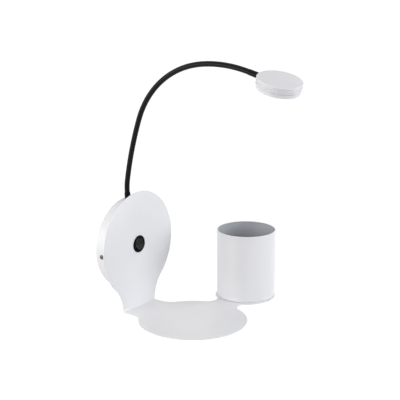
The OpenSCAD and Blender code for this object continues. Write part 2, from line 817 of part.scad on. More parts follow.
// One piece of the neck, from joint k to the next. Each joint is a ball end in a socket end,
// and both lie within the rib pattern, so that the neck looks unbroken when it is at rest.
module neck_piece(k) {
    from = k == 0 ? -ferrule_grip : joint_s(k);
    to = k == neck_joints ? flex_len + ferrule_grip : joint_s(k + 1);
    first_rib = k == 0 ? 0 : from + rib_pitch;
    last_rib = k == neck_joints ? flex_len : to;
    ribs = round((last_rib - first_rib) / rib_pitch - (k == 0 || k == neck_joints ? 0.5 : 0));
    mid_r = (neck_r + neck_bore_r) / 2;
    start_out = k == 0
        ? [neck_ring(from, 0, neck_r), neck_ring(-rib_pitch / 2, 0, neck_r)]
        : [neck_ring(from, socket_rim, neck_r)];
    ribbing = [
        for (i = [0 : ribs - 1]) each [
            neck_ring(first_rib + i * rib_pitch, 0, neck_r - rib_depth),
            neck_ring(first_rib + (i + 0.5) * rib_pitch, 0, neck_r)
        ]
    ];
    end_out = k == neck_joints
        ? [neck_ring(flex_len, 0, neck_r - rib_depth), neck_ring(flex_len + rib_pitch / 2, 0, neck_r),
            neck_ring(to, 0, neck_r), neck_ring(to, 0, neck_bore_r)]
        : [neck_ring(to, 0, neck_r), neck_ring(to, ball_ahead(mid_r), mid_r),
            neck_ring(to, ball_ahead(neck_bore_r), neck_bore_r)];
    bore = [
        for (i = [1 : bore_rings]) neck_ring(to + (from - to) * i / (bore_rings + 1), 0, neck_bore_r)
    ];
    start_in = k == 0
        ? [neck_ring(from, 0, neck_bore_r)]
        : [neck_ring(from, socket_ahead(neck_bore_r), neck_bore_r), neck_ring(from, socket_ahead(mid_r), mid_r)];
    rings = concat(start_out, ribbing, end_out, bore, start_in);
    points = [for (ring = rings) each ring];
    color(black_paint)
        on_canopy() polyhedron(points, grid_faces(len(rings), neck_sides));
}
module upper_ferrule() {
    reach_in = top_ferrule_len + head_r - boss_face_y;
    color(black_paint)
        difference() {
            union() {
                difference() {
                    at_neck_end() {
                        cylinder(r1 = top_ferrule_r - ferrule_edge, r2 = top_ferrule_r, h = ferrule_edge);
                        translate([0, 0, ferrule_edge]) cylinder(r = top_ferrule_r, h = top_ferrule_len);
                    }
                    in_head() translate([0, 0, -2 * housing_h]) cylinder(r = head_r, h = 3 * housing_h);
                }
                at_neck_end() translate([0, 0, top_ferrule_len - 2])
                    cylinder(r = stub_r, h = reach_in - top_ferrule_len + 2);
            }
            at_neck_end() {
                translate([0, 0, -cut]) cylinder(r = neck_r + fit_gap, h = ferrule_grip + cut);
                cylinder(r = stub_bore_r, h = reach_in + cut);
            }
            in_head()
                box([-stub_r, grub_y - grub_r - 1, -neck_axis_drop - 2 * stub_r],
                    [stub_r, grub_y + grub_r + 1, -neck_axis_drop - stub_flat]);
        }
}

// ---- Light head ----

module head_housing() {
    outer = concat(
        [[0, 0], [head_r - head_chamfer, 0], [head_r, -head_chamfer]],
        [for (i = [0 : groove_count - 1])
            let (z = -groove_first - i * groove_pitch)
            each [[head_r, z + groove_w / 2], [head_r - groove_deep, z + groove_w / 4],
                [head_r - groove_deep, z - groove_w / 4], [head_r, z - groove_w / 2]]],
        [[head_r, shadow_gap_low + shadow_gap_h], [shadow_gap_r, shadow_gap_low + shadow_gap_h],
            [shadow_gap_r, shadow_gap_low], [ring_r, shadow_gap_low],
            [ring_r, -housing_h], [head_in_r, -housing_h], [head_in_r, -head_web], [0, -head_web]]
    );
    color(white_paint)
        in_head() difference() {
            union() {
                rotate_extrude() polygon(outer);
                box([-boss_w / 2, boss_face_y, -housing_h], [boss_w / 2, head_r - head_wall / 2, -head_web / 2]);
            }
            translate([0, 0, -neck_axis_drop]) rod_y(stub_r + fit_gap, boss_face_y - cut, head_r + cut);
            translate([0, grub_y, -housing_h - cut])
                cylinder(r = grub_r + fit_gap, h = housing_h + cut - neck_axis_drop);
            for (a = board_screw_turns)
                rotate([0, 0, a]) translate([board_screw_ring, 0, -head_web - cut])
                    cylinder(r = board_screw_r + fit_gap, h = cut + board_screw_bite);
        }
}
module grub_screw() {
    color(bright_steel)
        in_head() translate([0, grub_y, -housing_h])
            cylinder(r = grub_r, h = housing_h - neck_axis_drop - stub_flat);
}
// The board's outline, with a notch that clears the boss for the ferrule
module board_outline(r) {
    difference() {
        circle(r = r);
        translate([-notch_w / 2, boss_face_y - 1]) square([notch_w, r]);
        for (a = board_screw_turns)
            rotate([0, 0, a]) translate([board_screw_ring, 0]) circle(r = board_screw_r + slip_gap);
    }
}
module heat_pad() {
    color("lightsteelblue")
        in_head() translate([0, 0, board_top]) linear_extrude(heat_pad_t) board_outline(light_board_r);
}
module light_board() {
    color("white")
        in_head() translate([0, 0, board_under]) linear_extrude(board_t) board_outline(light_board_r);
}
module light_chips() {
    color("khaki")
        in_head()
            for (i = [0 : chip_count - 1])
                rotate([0, 0, (i + 0.5) * 360 / chip_count])
                    box([chip_ring_r - chip_w / 2, -chip_w / 2, board_under - chip_h],
                        [chip_ring_r + chip_w / 2, chip_w / 2, board_under]);
}
module board_screws() {
    color(bright_steel)
        in_head()
            for (a = board_screw_turns)
                rotate([0, 0, a]) translate([board_screw_ring, 0, board_under]) mirror([0, 0, 1])
                    pan_screw(board_screw_r, board_t + heat_pad_t + board_screw_bite - slip_gap,
                        board_screw_head_r, board_screw_head_h);
}
module head_leads() {
    color("firebrick")
        in_head()
            for (side = [-1, 1])
                translate([side * (head_wire_r + fit_gap), 0, board_under - head_wire_r])
                    rod_y(head_wire_r, notch_y + slip_gap, boss_face_y + wire_reach);
}
module reflector() {
    low = diffuser_top;
    high = board_under - slip_gap;
    rim = diffuser_r - slip_gap;
    color("white")
        in_head() difference() {
            rotate_extrude() polygon([
                [reflector_in_r, high], [reflector_in_r + reflector_t, high],
                [rim - reflector_flange + reflector_t, low + reflector_t], [rim, low + reflector_t],
                [rim, low], [rim - reflector_flange, low]
            ]);
            box([-notch_w / 2, notch_y, low + reflector_t], [notch_w / 2, head_r, 0]);
        }
}
module diffuser() {
    color([1, 1, 0.96])
        in_head() translate([0, 0, diffuser_top - diffuser_t]) cylinder(r = diffuser_r, h = diffuser_t);
}
module lens_ring() {
    spigot_r = head_in_r - slip_gap;
    color(white_paint)
        in_head() difference() {
            rotate_extrude() polygon([
                [ring_bore_r, -housing_h + spigot_h], [spigot_r, -housing_h + spigot_h], [spigot_r, -housing_h],
                [ring_r, -housing_h], [ring_r, ring_bottom + ring_edge], [ring_r - ring_edge, ring_bottom],
                [ring_bore_r - lens_lip_w, ring_bottom], [ring_bore_r - lens_lip_w, ring_bottom + lens_lip],
                [ring_bore_r, ring_bottom + lens_lip]
            ]);
            box([-notch_w / 2, 0, -housing_h], [notch_w / 2, head_r, 0]);
        }
}

// ---- Pen cup ----

// Places a piece on the middle of the cup's plate
module on_cup() {
    translate([cup_side, front_y - reach, 0]) children();
}
module pen_cup() {
    color(white_paint)
        on_cup() difference() {
            rotate_extrude() {
                translate([0, -drop]) square([cup_r, cup_wall]);
                translate([cup_r - cup_wall, -drop]) square([cup_wall, cup_h - rim_curl_r]);
                translate([cup_r - rim_curl_r, -drop + cup_h - rim_curl_r]) circle(r = rim_curl_r);
            }
            translate([0, 0, -drop - cut]) cylinder(r = m4_r + slip_gap, h = cup_wall + 2 * cut);
        }
}
module cup_screw() {
    color(bright_steel)
        on_cup() translate([0, 0, -drop - sheet_t]) mirror([0, 0, 1])
            pan_screw(m4_r, sheet_t + cup_wall + m4_nut_h, m4_head_r, m4_head_h);
}
module cap_nut() {
    color(bright_steel)
        on_cup() translate([0, 0, cup_floor_z]) difference() {
            union() {
                cylinder(r = m4_nut_flats / sqrt(3), h = m4_nut_h, $fn = 6);
                translate([0, 0, m4_nut_h]) intersection() {
                    sphere(r = m4_nut_flats / 2);
                    translate([0, 0, -cut]) cylinder(r = m4_nut_flats, h = cap_nut_h - m4_nut_h + cut);
                }
            }
            translate([0, 0, -cut]) cylinder(r = m4_r + fit_gap, h = m4_nut_h + cap_nut_room + cut);
        }
}

folded_sheet();
canopy();
wall_bracket();
bracket_tabs();
bracket_inserts();
side_screws();
cable_grommet();
sheet_nuts();
switch_housing();
switch_blades();
rocker_pin();
switch_rocker();
driver_pad();
driver_tray();
driver_board();
driver_parts();
driver_cover();
driver_screws();
terminal_block();
clamp_screws();
earth_tag();
earth_screw();
canopy_leads();
lower_ferrule();
root_washer();
root_nut();
neck_piece(0);  // neck_root
neck_piece(1);  // neck_link_1
neck_piece(2);  // neck_link_2
neck_piece(3);  // neck_link_3
neck_piece(4);  // neck_link_4
neck_piece(5);  // neck_link_5
neck_piece(6);  // neck_link_6
neck_piece(7);  // neck_link_7
neck_piece(8);  // neck_link_8
neck_piece(9);  // neck_tip
upper_ferrule();
head_housing();
grub_screw();
heat_pad();
light_board();
light_chips();
board_screws();
head_leads();
reflector();
diffuser();
lens_ring();
pen_cup();
cup_screw();
cap_nut();
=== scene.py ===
import logging
import math
from dataclasses import dataclass, field
from enum import Enum
from typing import Sequence

import bmesh
import bpy
from mathutils import Matrix, Vector


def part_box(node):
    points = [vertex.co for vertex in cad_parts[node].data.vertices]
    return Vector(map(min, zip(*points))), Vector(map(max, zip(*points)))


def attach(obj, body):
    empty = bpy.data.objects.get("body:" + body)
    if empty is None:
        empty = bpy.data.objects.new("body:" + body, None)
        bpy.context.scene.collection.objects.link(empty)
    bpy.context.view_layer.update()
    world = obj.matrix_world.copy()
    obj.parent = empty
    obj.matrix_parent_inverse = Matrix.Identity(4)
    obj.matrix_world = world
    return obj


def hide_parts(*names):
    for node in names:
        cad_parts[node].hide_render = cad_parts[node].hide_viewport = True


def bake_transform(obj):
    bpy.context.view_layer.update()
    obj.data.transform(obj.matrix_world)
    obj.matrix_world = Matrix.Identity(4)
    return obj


# Looks of a wall lamp with a round shelf and a pen cup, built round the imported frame.
# Meshes are drawn in millimetres and scaled to metres when they become objects.
# The frame: origin on the wall behind the middle of the disc, +Z up, -Y out of the wall.

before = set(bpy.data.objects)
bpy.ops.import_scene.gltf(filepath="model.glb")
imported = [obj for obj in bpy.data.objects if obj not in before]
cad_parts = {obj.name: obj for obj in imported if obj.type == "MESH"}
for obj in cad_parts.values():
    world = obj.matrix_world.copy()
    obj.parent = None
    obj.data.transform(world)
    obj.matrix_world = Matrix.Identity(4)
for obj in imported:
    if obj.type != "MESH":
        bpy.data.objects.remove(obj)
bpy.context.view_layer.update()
MM = 0.001
LOG = logging.getLogger("wall_lamp")

Point = tuple[float, float]
Place = tuple[float, float, float]
Colour = tuple[float, float, float]


# ---- Meshes ----


@dataclass(frozen=True)
class Corner:
    """One corner of an outline, in millimetres, with the radius that rounds it."""

    across: float
    along: float
    radius: float = 0.0


def rounded(corners: Sequence[Corner], closed: bool = True, steps: int = 5) -> list[Point]:
    """Turns corners into points, with an arc in place of each corner that has a radius.

    Args:
        corners: the outline's corners, in order.
        closed: whether the last corner joins the first.
        steps: number of segments in each arc.

    Returns:
        The outline's points, in millimetres.
    """
    points: list[Point] = []
    count = len(corners)
    for i, corner in enumerate(corners):
        here = Vector((corner.across, corner.along))
        at_end = not closed and i in (0, count - 1)
        if corner.radius <= 0 or at_end:
            points.append((here.x, here.y))
            continue
        before, after = corners[i - 1], corners[(i + 1) % count]
        back = (Vector((before.across, before.along)) - here).normalized()
        ahead = (Vector((after.across, after.along)) - here).normalized()
        half = back.angle(ahead) / 2
        reach = corner.radius / math.tan(half)
        centre = here + (back + ahead).normalized() * (corner.radius / math.sin(half))
        start = here + back * reach - centre
        turn = start.angle_signed(here + ahead * reach - centre)
        for step in range(steps + 1):
            spoke = start.copy()
            spoke.rotate(Matrix.Rotation(-turn * step / steps, 2))
            points.append((centre.x + spoke.x, centre.y + spoke.y))
    return points


def arc(centre: Point, radius: float, start: float, end: float, steps: int) -> list[Point]:
    """Points along an arc.

    Args:
        centre: the arc's middle, in millimetres.
        radius: the arc's radius.
        start: angle of the first point, in degrees.
        end: angle of the last point, in degrees.
        steps: number of segments.

    Returns:
        The points, both ends included.
    """
    turns = [math.radians(start + (end - start) * i / steps) for i in range(steps + 1)]
    return [(centre[0] + radius * math.cos(a), centre[1] + radius * math.sin(a)) for a in turns]


def linked(name: str, data: bpy.types.ID) -> bpy.types.Object:
    """Makes an object of a mesh, a lamp or a camera, and puts it in the scene.

    Args:
        name: the object's name.
        data: what the object shows.

    Returns:
        The new object.
    """
    made = bpy.data.objects.new(name, data)
    bpy.context.scene.collection.objects.link(made)
    return made


def mesh_object(
    name: str, points: Sequence[Sequence[float]], faces: Sequence[Sequence[int]],
    place: Matrix | None = None,
) -> bpy.types.Object:
    """Makes an object from points in millimetres, with faces outwards and doubles merged.

    Args:
        name: the object's name.
        points: the mesh's points.
        faces: the faces, as indices of points.
        place: where the points go, in millimetres, if not where they are.

    Returns:
        The new object, at the origin, in metres.
    """
    shape = bmesh.new()
    place = place or Matrix.Identity(4)
    made = [shape.verts.new((place @ Vector(p)) * MM) for p in points]
    for face in faces:
        shape.faces.new([made[i] for i in face])
    bmesh.ops.remove_doubles(shape, verts=shape.verts, dist=1e-7)
    bmesh.ops.recalc_face_normals(shape, faces=shape.faces)
    mesh = bpy.data.meshes.new(name)
    shape.to_mesh(mesh)
    shape.free()
    return linked(name, mesh)


def turned(
    name: str,
    outline: Sequence[Point],
    place: Matrix | None = None,
    sides: int = 128,
    closed: bool = True,
) -> bpy.types.Object:
    """Turns an outline about the Z axis, as on a lathe.

    Args:
        name: the object's name.
        outline: (radius, height) points. Points on the axis become poles.
        place: where the turned shape goes, in millimetres.
        sides: number of sides round the axis.
        closed: whether the outline's last point joins its first.

    Returns:
        The new object.
    """
    points: list[Place] = []
    rings: list[list[int]] = []
    for radius, height in outline:
        start = len(points)
        if abs(radius) < 1e-9:
            points.append((0.0, 0.0, height))
            rings.append([start] * sides)
            continue
        for i in range(sides):
            a = 2 * math.pi * i / sides
            points.append((radius * math.cos(a), radius * math.sin(a), height))
        rings.append(list(range(start, start + sides)))
    faces = []
    pairs = len(rings) if closed else len(rings) - 1
    for k in range(pairs):
        low, high = rings[k], rings[(k + 1) % len(rings)]
        for i in range(sides):
            j = (i + 1) % sides
            face = list(dict.fromkeys((low[i], low[j], high[j], high[i])))
            if len(face) > 2:
                faces.append(face)
    return mesh_object(name, points, faces, place)


def block(name: str, low: Place, high: Place, place: Matrix | None = None) -> bpy.types.Object:
    """Makes a plain box between two corners, for cutting or joining."""
    corners = [(x, y, z) for x in (low[0], high[0]) for y in (low[1], high[1]) for z in (low[2], high[2])]
    faces = [(0, 1, 3, 2), (4, 6, 7, 5), (0, 4, 5, 1), (2, 3, 7, 6), (0, 2, 6, 4), (1, 5, 7, 3)]
    return mesh_object(name, corners, faces, place)


def rod(
    name: str, radius: float, low: float, high: float, place: Matrix | None = None, sides: int = 64
) -> bpy.types.Object:
    """Makes a plain cylinder along Z, for cutting or joining."""
    return turned(name, [(0, low), (radius, low), (radius, high), (0, high)], place, sides, closed=False)


def baked(thing: bpy.types.Object, name: str) -> bpy.types.Object:
    """Replaces an object by its evaluated mesh, without modifiers.

    Args:
        thing: the object, with its modifiers.
        name: the new object's name.

    Returns:
        The new object.
    """
    bpy.context.view_layer.update()
    graph = bpy.context.evaluated_depsgraph_get()
    mesh = bpy.data.meshes.new_from_object(thing.evaluated_get(graph), depsgraph=graph)
    bpy.data.objects.remove(thing)
    mesh.name = name
    return linked(name, mesh)


class Join(Enum):
    """How a tool changes a solid."""

    CUT = "DIFFERENCE"
    ADD = "UNION"
    KEEP = "INTERSECT"


def joined(solid: bpy.types.Object, tool: bpy.types.Object, how: Join) -> bpy.types.Object:
    """Cuts or adds a tool, which is used up.

    Args:
        solid: the solid to change.
        tool: the other solid.
        how: what is done with the tool.

    Returns:
        The changed solid, as a new object of the same name.
    """
    name = solid.name
    change = solid.modifiers.new("tool", "BOOLEAN")
    change.operation = how.value
    change.solver = "EXACT"
    change.object = tool
    solid.name = "worked"
    made = baked(solid, name)
    bpy.data.objects.remove(tool)
    return made


def gathered(name: str, things: Sequence[bpy.types.Object]) -> bpy.types.Object:
    """Puts several meshes into one object.

    Args:
        name: the new object's name.
        things: the objects, which are used up. Their materials are kept.

    Returns:
        The new object.
    """
    shape = bmesh.new()
    finishes: list[bpy.types.Material] = []
    for thing in things:
        first = len(shape.faces)
        shape.from_mesh(thing.data)
        shape.faces.ensure_lookup_table()
        for finish in thing.data.materials:
            if finish not in finishes:
                finishes.append(finish)
        for face in list(shape.faces)[first:]:
            if thing.data.materials:
                face.material_index = finishes.index(thing.data.materials[face.material_index])
    mesh = bpy.data.meshes.new(name)
    shape.to_mesh(mesh)
    shape.free()
    for finish in finishes:
        mesh.materials.append(finish)
    for thing in things:
        bpy.data.objects.remove(thing)
    return linked(name, mesh)


def smoothed(thing: bpy.types.Object, crease: float = 35.0) -> bpy.types.Object:
    """Shades an object smooth, with sharp edges where faces meet at more than crease degrees."""
    thing.data.shade_smooth()
    thing.data.set_sharp_from_angle(angle=math.radians(crease))
    return thing


# ---- Node trees that repeat pieces or follow a path ----


class Tree:
    """A geometry node tree with named inputs."""

    def __init__(self, name: str) -> None:
        """Starts an empty tree.

        Args:
            name: the tree's name.
        """
        self.group = bpy.data.node_groups.new(name, "GeometryNodeTree")
        self.keys: dict[str, str] = {}
        self.ask("Geometry", "NodeSocketGeometry")
        self.group.interface.new_socket("Geometry", in_out="OUTPUT", socket_type="NodeSocketGeometry")
        self.given = self.group.nodes.new("NodeGroupInput")
        self.made = self.group.nodes.new("NodeGroupOutput")

    def ask(self, name: str, kind: str) -> None:
        """Adds a named input of one socket kind."""
        socket = self.group.interface.new_socket(name, in_out="INPUT", socket_type=kind)
        self.keys[name] = socket.identifier

    def add(self, kind: str, inputs: dict[str | int, object] | None = None, **settings: object):
        """Adds a node.

        Args:
            kind: the node's type.
            inputs: for each input, by name or number, a socket to link or a value to set.
            **settings: the node's own settings.

        Returns:
            The new node.
        """
        node = self.group.nodes.new(kind)
        for key, value in settings.items():
            setattr(node, key, value)
        for key, value in (inputs or {}).items():
            if isinstance(value, bpy.types.NodeSocket):
                self.group.links.new(value, node.inputs[key])
            else:
                node.inputs[key].default_value = value
        return node

    def maths(self, operation: str, *values: object):
        """Adds a math node on one or two values and returns its output."""
        return self.add("ShaderNodeMath", dict(enumerate(values)), operation=operation).outputs[0]

    def end(self, geometry: bpy.types.NodeSocket) -> None:
        """Ends the tree in real geometry with the finish that the tree is given."""
        real = self.add("GeometryNodeRealizeInstances", {"Geometry": geometry})
        coat = self.add(
            "GeometryNodeSetMaterial",
            {"Geometry": real.outputs[0], "Material": self.given.outputs["Finish"]},
        )
        self.group.links.new(coat.outputs[0], self.made.inputs[0])

    def run(self, thing: bpy.types.Object, name: str, **values: object) -> bpy.types.Object:
        """Runs the tree on an object and keeps the result as a plain mesh.

        Args:
            thing: the object that holds the path or the points. It is used up.
            name: the new object's name.
            **values: the tree's inputs, with _ for a space in their names.

        Returns:
            The new object.
        """
        change = thing.modifiers.new("tree", "NODES")
        change.node_group = self.group
        for key, value in values.items():
            change[self.keys[key.replace("_", " ")]] = value
        return baked(thing, name)


def sweep_tree() -> Tree:
    """Builds the tree that sweeps a round tube along a path, with ribs round it.

    Returns:
        A tree with the inputs Radius, Rib Depth, Ribs, Rings Per Rib, Sides, Fill Caps and Finish.
    """
    tree = Tree("swept_tube")
    for name, kind in (
        ("Radius", "NodeSocketFloat"),
        ("Rib Depth", "NodeSocketFloat"),
        ("Rib Fullness", "NodeSocketFloat"),
        ("Ribs", "NodeSocketInt"),
        ("Rings Per Rib", "NodeSocketInt"),
        ("Sides", "NodeSocketInt"),
        ("Fill Caps", "NodeSocketBool"),
        ("Finish", "NodeSocketMaterial"),
    ):
        tree.ask(name, kind)
    given = tree.given.outputs
    path = tree.add("GeometryNodeMeshToCurve", {"Mesh": given["Geometry"]}).outputs[0]
    rings = tree.maths("ADD", tree.maths("MULTIPLY", given["Ribs"], given["Rings Per Rib"]), 1.0)
    even = tree.add("GeometryNodeResampleCurve", {"Curve": path, "Count": rings}, mode="COUNT")
    share = tree.add("GeometryNodeSplineParameter").outputs["Factor"]
    phase = tree.maths("MULTIPLY", tree.maths("MULTIPLY", share, given["Ribs"]), math.pi)
    hoop = tree.maths("POWER", tree.maths("ABSOLUTE", tree.maths("SINE", phase)), given["Rib Fullness"])
    sunk = tree.maths("MULTIPLY", tree.maths("SUBTRACT", 1.0, hoop), given["Rib Depth"])
    size = tree.maths("SUBTRACT", given["Radius"], sunk)
    ring = tree.add("GeometryNodeCurvePrimitiveCircle", {"Resolution": given["Sides"], "Radius": 1.0})
    tube = tree.add(
        "GeometryNodeCurveToMesh",
        {"Curve": even.outputs[0], "Profile Curve": ring.outputs[0], "Scale": size,
         "Fill Caps": given["Fill Caps"]},
    )
    tree.end(tube.outputs[0])
    return tree


def scatter_tree() -> Tree:
    """Builds the tree that puts one piece on each point of a mesh, turned as the point says.

    Returns:
        A tree with the inputs Piece and Finish.
    """
    tree = Tree("set_pieces")
    tree.ask("Piece", "NodeSocketObject")
    tree.ask("Finish", "NodeSocketMaterial")
    piece = tree.add("GeometryNodeObjectInfo", {"Object": tree.given.outputs["Piece"]})
    turn = tree.add("GeometryNodeInputNamedAttribute", {"Name": "turn"}, data_type="FLOAT_VECTOR")
    turning = tree.add("FunctionNodeEulerToRotation", {"Euler": turn.outputs[0]})
    placed = tree.add(
        "GeometryNodeInstanceOnPoints",
        {"Points": tree.given.outputs["Geometry"], "Instance": piece.outputs["Geometry"],
         "Rotation": turning.outputs[0]},
    )
    tree.end(placed.outputs[0])
    return tree


def path_object(points: Sequence[Place], place: Matrix | None = None) -> bpy.types.Object:
    """Makes a path of edges through points in millimetres."""
    place = place or Matrix.Identity(4)
    mesh = bpy.data.meshes.new("path")
    edges = [(i, i + 1) for i in range(len(points) - 1)]
    mesh.from_pydata([(place @ Vector(p)) * MM for p in points], edges, [])
    return linked("path", mesh)


def copies(
    name: str, piece: bpy.types.Object, places: Sequence[Matrix], finish: bpy.types.Material
) -> bpy.types.Object:
    """Puts a copy of a piece at each place, in one object.

    Args:
        name: the new object's name.
        piece: the piece at the origin. It is used up.
        places: where the copies go, in millimetres.
        finish: the copies' material.

    Returns:
        The new object.
    """
    mesh = bpy.data.meshes.new("places")
    mesh.from_pydata([place.translation * MM for place in places], [], [])
    turns = mesh.attributes.new("turn", "FLOAT_VECTOR", "POINT")
    for i, place in enumerate(places):
        turns.data[i].vector = place.to_euler()
    made = scatter_tree().run(linked("places", mesh), name, Piece=piece, Finish=finish)
    bpy.data.objects.remove(piece)
    return made


def shown(
    thing: bpy.types.Object,
    finish: bpy.types.Material | None,
    nodes: Sequence[str],
    body: str = "wall_unit",
) -> bpy.types.Object:
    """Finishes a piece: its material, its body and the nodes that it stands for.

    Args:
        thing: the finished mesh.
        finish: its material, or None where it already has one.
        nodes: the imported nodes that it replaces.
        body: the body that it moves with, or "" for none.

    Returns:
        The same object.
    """
    if finish:
        thing.data.materials.clear()
        thing.data.materials.append(finish)
    if body:
        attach(thing, body)
    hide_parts(*nodes)
    LOG.info("%s: %d faces", thing.name, len(thing.data.polygons))
    return thing


def fastened(
    name: str, piece: bpy.types.Object, places: Sequence[Matrix], finish: bpy.types.Material, node: str
) -> None:
    """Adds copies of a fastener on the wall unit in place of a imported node.

    Args:
        name: the new piece's name.
        piece: the fastener at the origin. It is used up.
        places: where the copies go, in millimetres.
        finish: their material.
        node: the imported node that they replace.
    """
    shown(copies(name, piece, places, finish), finish, [node])


# ---- Finishes ----


class Shader:
    """A material's node tree, built from the surface inwards."""

    def __init__(self, name: str) -> None:
        """Starts a material with one principled surface.

        Args:
            name: the material's name.
        """
        self.material = bpy.data.materials.new(name)
        self.material.use_nodes = True
        self.nodes = self.material.node_tree.nodes
        self.links = self.material.node_tree.links
        self.surface = next(n for n in self.nodes if n.type == "BSDF_PRINCIPLED")
        self.place = self.nodes.new("ShaderNodeTexCoord").outputs["Object"]

    def value(self, name: str, amount: object) -> None:
        """Sets a constant on the surface."""
        self.surface.inputs[name].default_value = amount

    def link(self, source: bpy.types.NodeSocket, name: str) -> None:
        """Links a pattern to one of the surface's inputs."""
        self.links.new(source, self.surface.inputs[name])

    def stretched(self, scale: Place) -> bpy.types.NodeSocket:
        """Object coordinates, stretched along each axis."""
        node = self.nodes.new("ShaderNodeMapping")
        node.inputs["Scale"].default_value = scale
        self.links.new(self.place, node.inputs["Vector"])
        return node.outputs[0]

    def noise(
        self, scale: float, detail: float = 3.0, place: bpy.types.NodeSocket | None = None
    ) -> bpy.types.NodeSocket:
        """Adds a noise pattern.

        Args:
            scale: how many features there are to a metre.
            detail: how many finer layers it has.
            place: the coordinates, if not the object's own.

        Returns:
            The pattern's value.
        """
        node = self.nodes.new("ShaderNodeTexNoise")
        node.inputs["Scale"].default_value = scale
        node.inputs["Detail"].default_value = detail
        self.links.new(place or self.place, node.inputs["Vector"])
        return node.outputs["Fac"]

    def cells(self, scale: float) -> bpy.types.NodeSocket:
        """Adds a pattern of cells, scale of them to a metre, and returns its colour."""
        node = self.nodes.new("ShaderNodeTexVoronoi")
        node.inputs["Scale"].default_value = scale
        self.links.new(self.place, node.inputs["Vector"])
        return node.outputs["Color"]

    def between(self, share: bpy.types.NodeSocket, low: Colour, high: Colour) -> bpy.types.NodeSocket:
        """Mixes two colours by a pattern."""
        node = self.nodes.new("ShaderNodeMix")
        node.data_type = "RGBA"
        self.links.new(share, node.inputs[0])
        node.inputs[6].default_value = (*low, 1.0)
        node.inputs[7].default_value = (*high, 1.0)
        return node.outputs[2]

    def tint(self, share: bpy.types.NodeSocket, colour: Colour, low: float, high: float) -> None:
        """Colours the surface between a darker and a lighter tone by a pattern.

        Args:
            share: the pattern.
            colour: the colour between the two tones.
            low: factor of the darker tone.
            high: factor of the lighter tone.
        """
        self.link(self.between(share, shade(colour, low), shade(colour, high)), "Base Color")

    def ranged(
        self, source: bpy.types.NodeSocket, low: float, high: float, start: float = 0.3, end: float = 0.7
    ) -> bpy.types.NodeSocket:
        """Maps a pattern's values from start and end to low and high."""
        node = self.nodes.new("ShaderNodeMapRange")
        self.links.new(source, node.inputs["Value"])
        for name, amount in (("From Min", start), ("From Max", end), ("To Min", low), ("To Max", high)):
            node.inputs[name].default_value = amount
        return node.outputs[0]

    def bump(self, *layers: tuple[bpy.types.NodeSocket, float]) -> None:
        """Adds relief to the surface.

        Args:
            *layers: patterns with their heights in metres, coarse ones first.
        """
        normal = None
        for pattern, height in layers:
            node = self.nodes.new("ShaderNodeBump")
            node.inputs["Distance"].default_value = height
            node.inputs["Strength"].default_value = 1.0
            self.links.new(pattern, node.inputs["Height"])
            if normal:
                self.links.new(normal, node.inputs["Normal"])
            normal = node.outputs[0]
        self.link(normal, "Normal")


def shade(colour: Colour, factor: float) -> Colour:
    """A colour made darker or lighter by a factor."""
    return tuple(min(1.0, part * factor) for part in colour)


@dataclass(frozen=True)
class Coat:
    """Baked paint: a fine peel, faint tone changes and a soft gloss."""

    name: str
    colour: Colour
    roughness: float = 0.36
    sheen_drift: float = 0.05
    peel_per_metre: float = 620.0
    peel_height: float = 0.000012
    gloss: float = 0.5

    def material(self) -> bpy.types.Material:
        """Builds the paint's material."""
        shader = Shader(self.name)
        tone = shader.noise(28.0, 4.0)
        shader.tint(tone, self.colour, 0.985, 1.012)
        gloss = shader.noise(95.0, 5.0)
        low, high = self.roughness - self.sheen_drift, self.roughness + self.sheen_drift
        shader.link(shader.ranged(gloss, low, high), "Roughness")
        shader.value("Specular IOR Level", self.gloss)
        grain = shader.noise(self.peel_per_metre * 4, 2.0)
        peel = shader.noise(self.peel_per_metre, 2.0)
        shader.bump((peel, self.peel_height), (grain, self.peel_height / 8))
        return shader.material


@dataclass(frozen=True)
class Metal:
    """Bare metal: brushed along one axis or spangled, with handling marks in its gloss."""

    name: str
    colour: Colour
    roughness: float = 0.3
    brushed: Place = (60.0, 1800.0, 60.0)
    spangle_per_metre: float = 0.0
    scratch_height: float = 0.000004

    def material(self) -> bpy.types.Material:
        """Builds the metal's material."""
        shader = Shader(self.name)
        shader.value("Metallic", 1.0)
        lines = shader.noise(1.0, 4.0, shader.stretched(self.brushed))
        if self.spangle_per_metre:
            shader.tint(shader.cells(self.spangle_per_metre), self.colour, 0.86, 1.08)
        else:
            shader.tint(lines, self.colour, 0.9, 1.06)
        marks = shader.noise(140.0, 6.0)
        shader.link(shader.ranged(marks, self.roughness - 0.07, self.roughness + 0.1), "Roughness")
        shader.bump((lines, self.scratch_height))
        return shader.material


@dataclass(frozen=True)
class Moulding:
    """Moulded plastic or rubber: an eroded grain, soft gloss and faint flow marks."""

    name: str
    colour: Colour
    roughness: float = 0.35
    grain_per_metre: float = 2600.0
    grain_height: float = 0.000008
    gloss: float = 0.5
    milky: float = 0.0

    def material(self) -> bpy.types.Material:
        """Builds the plastic's material."""
        shader = Shader(self.name)
        flow = shader.noise(60.0, 3.0)
        shader.tint(flow, self.colour, 0.93, 1.05)
        shader.link(shader.ranged(shader.noise(220.0, 4.0), self.roughness - 0.06, self.roughness + 0.07),
                    "Roughness")
        shader.value("Specular IOR Level", self.gloss)
        if self.milky:
            shader.value("Subsurface Weight", self.milky)
            shader.value("Subsurface Radius", (0.003, 0.003, 0.003))
            shader.value("Subsurface Scale", 0.6)
        shader.bump((shader.noise(self.grain_per_metre, 3.0), self.grain_height))
        return shader.material


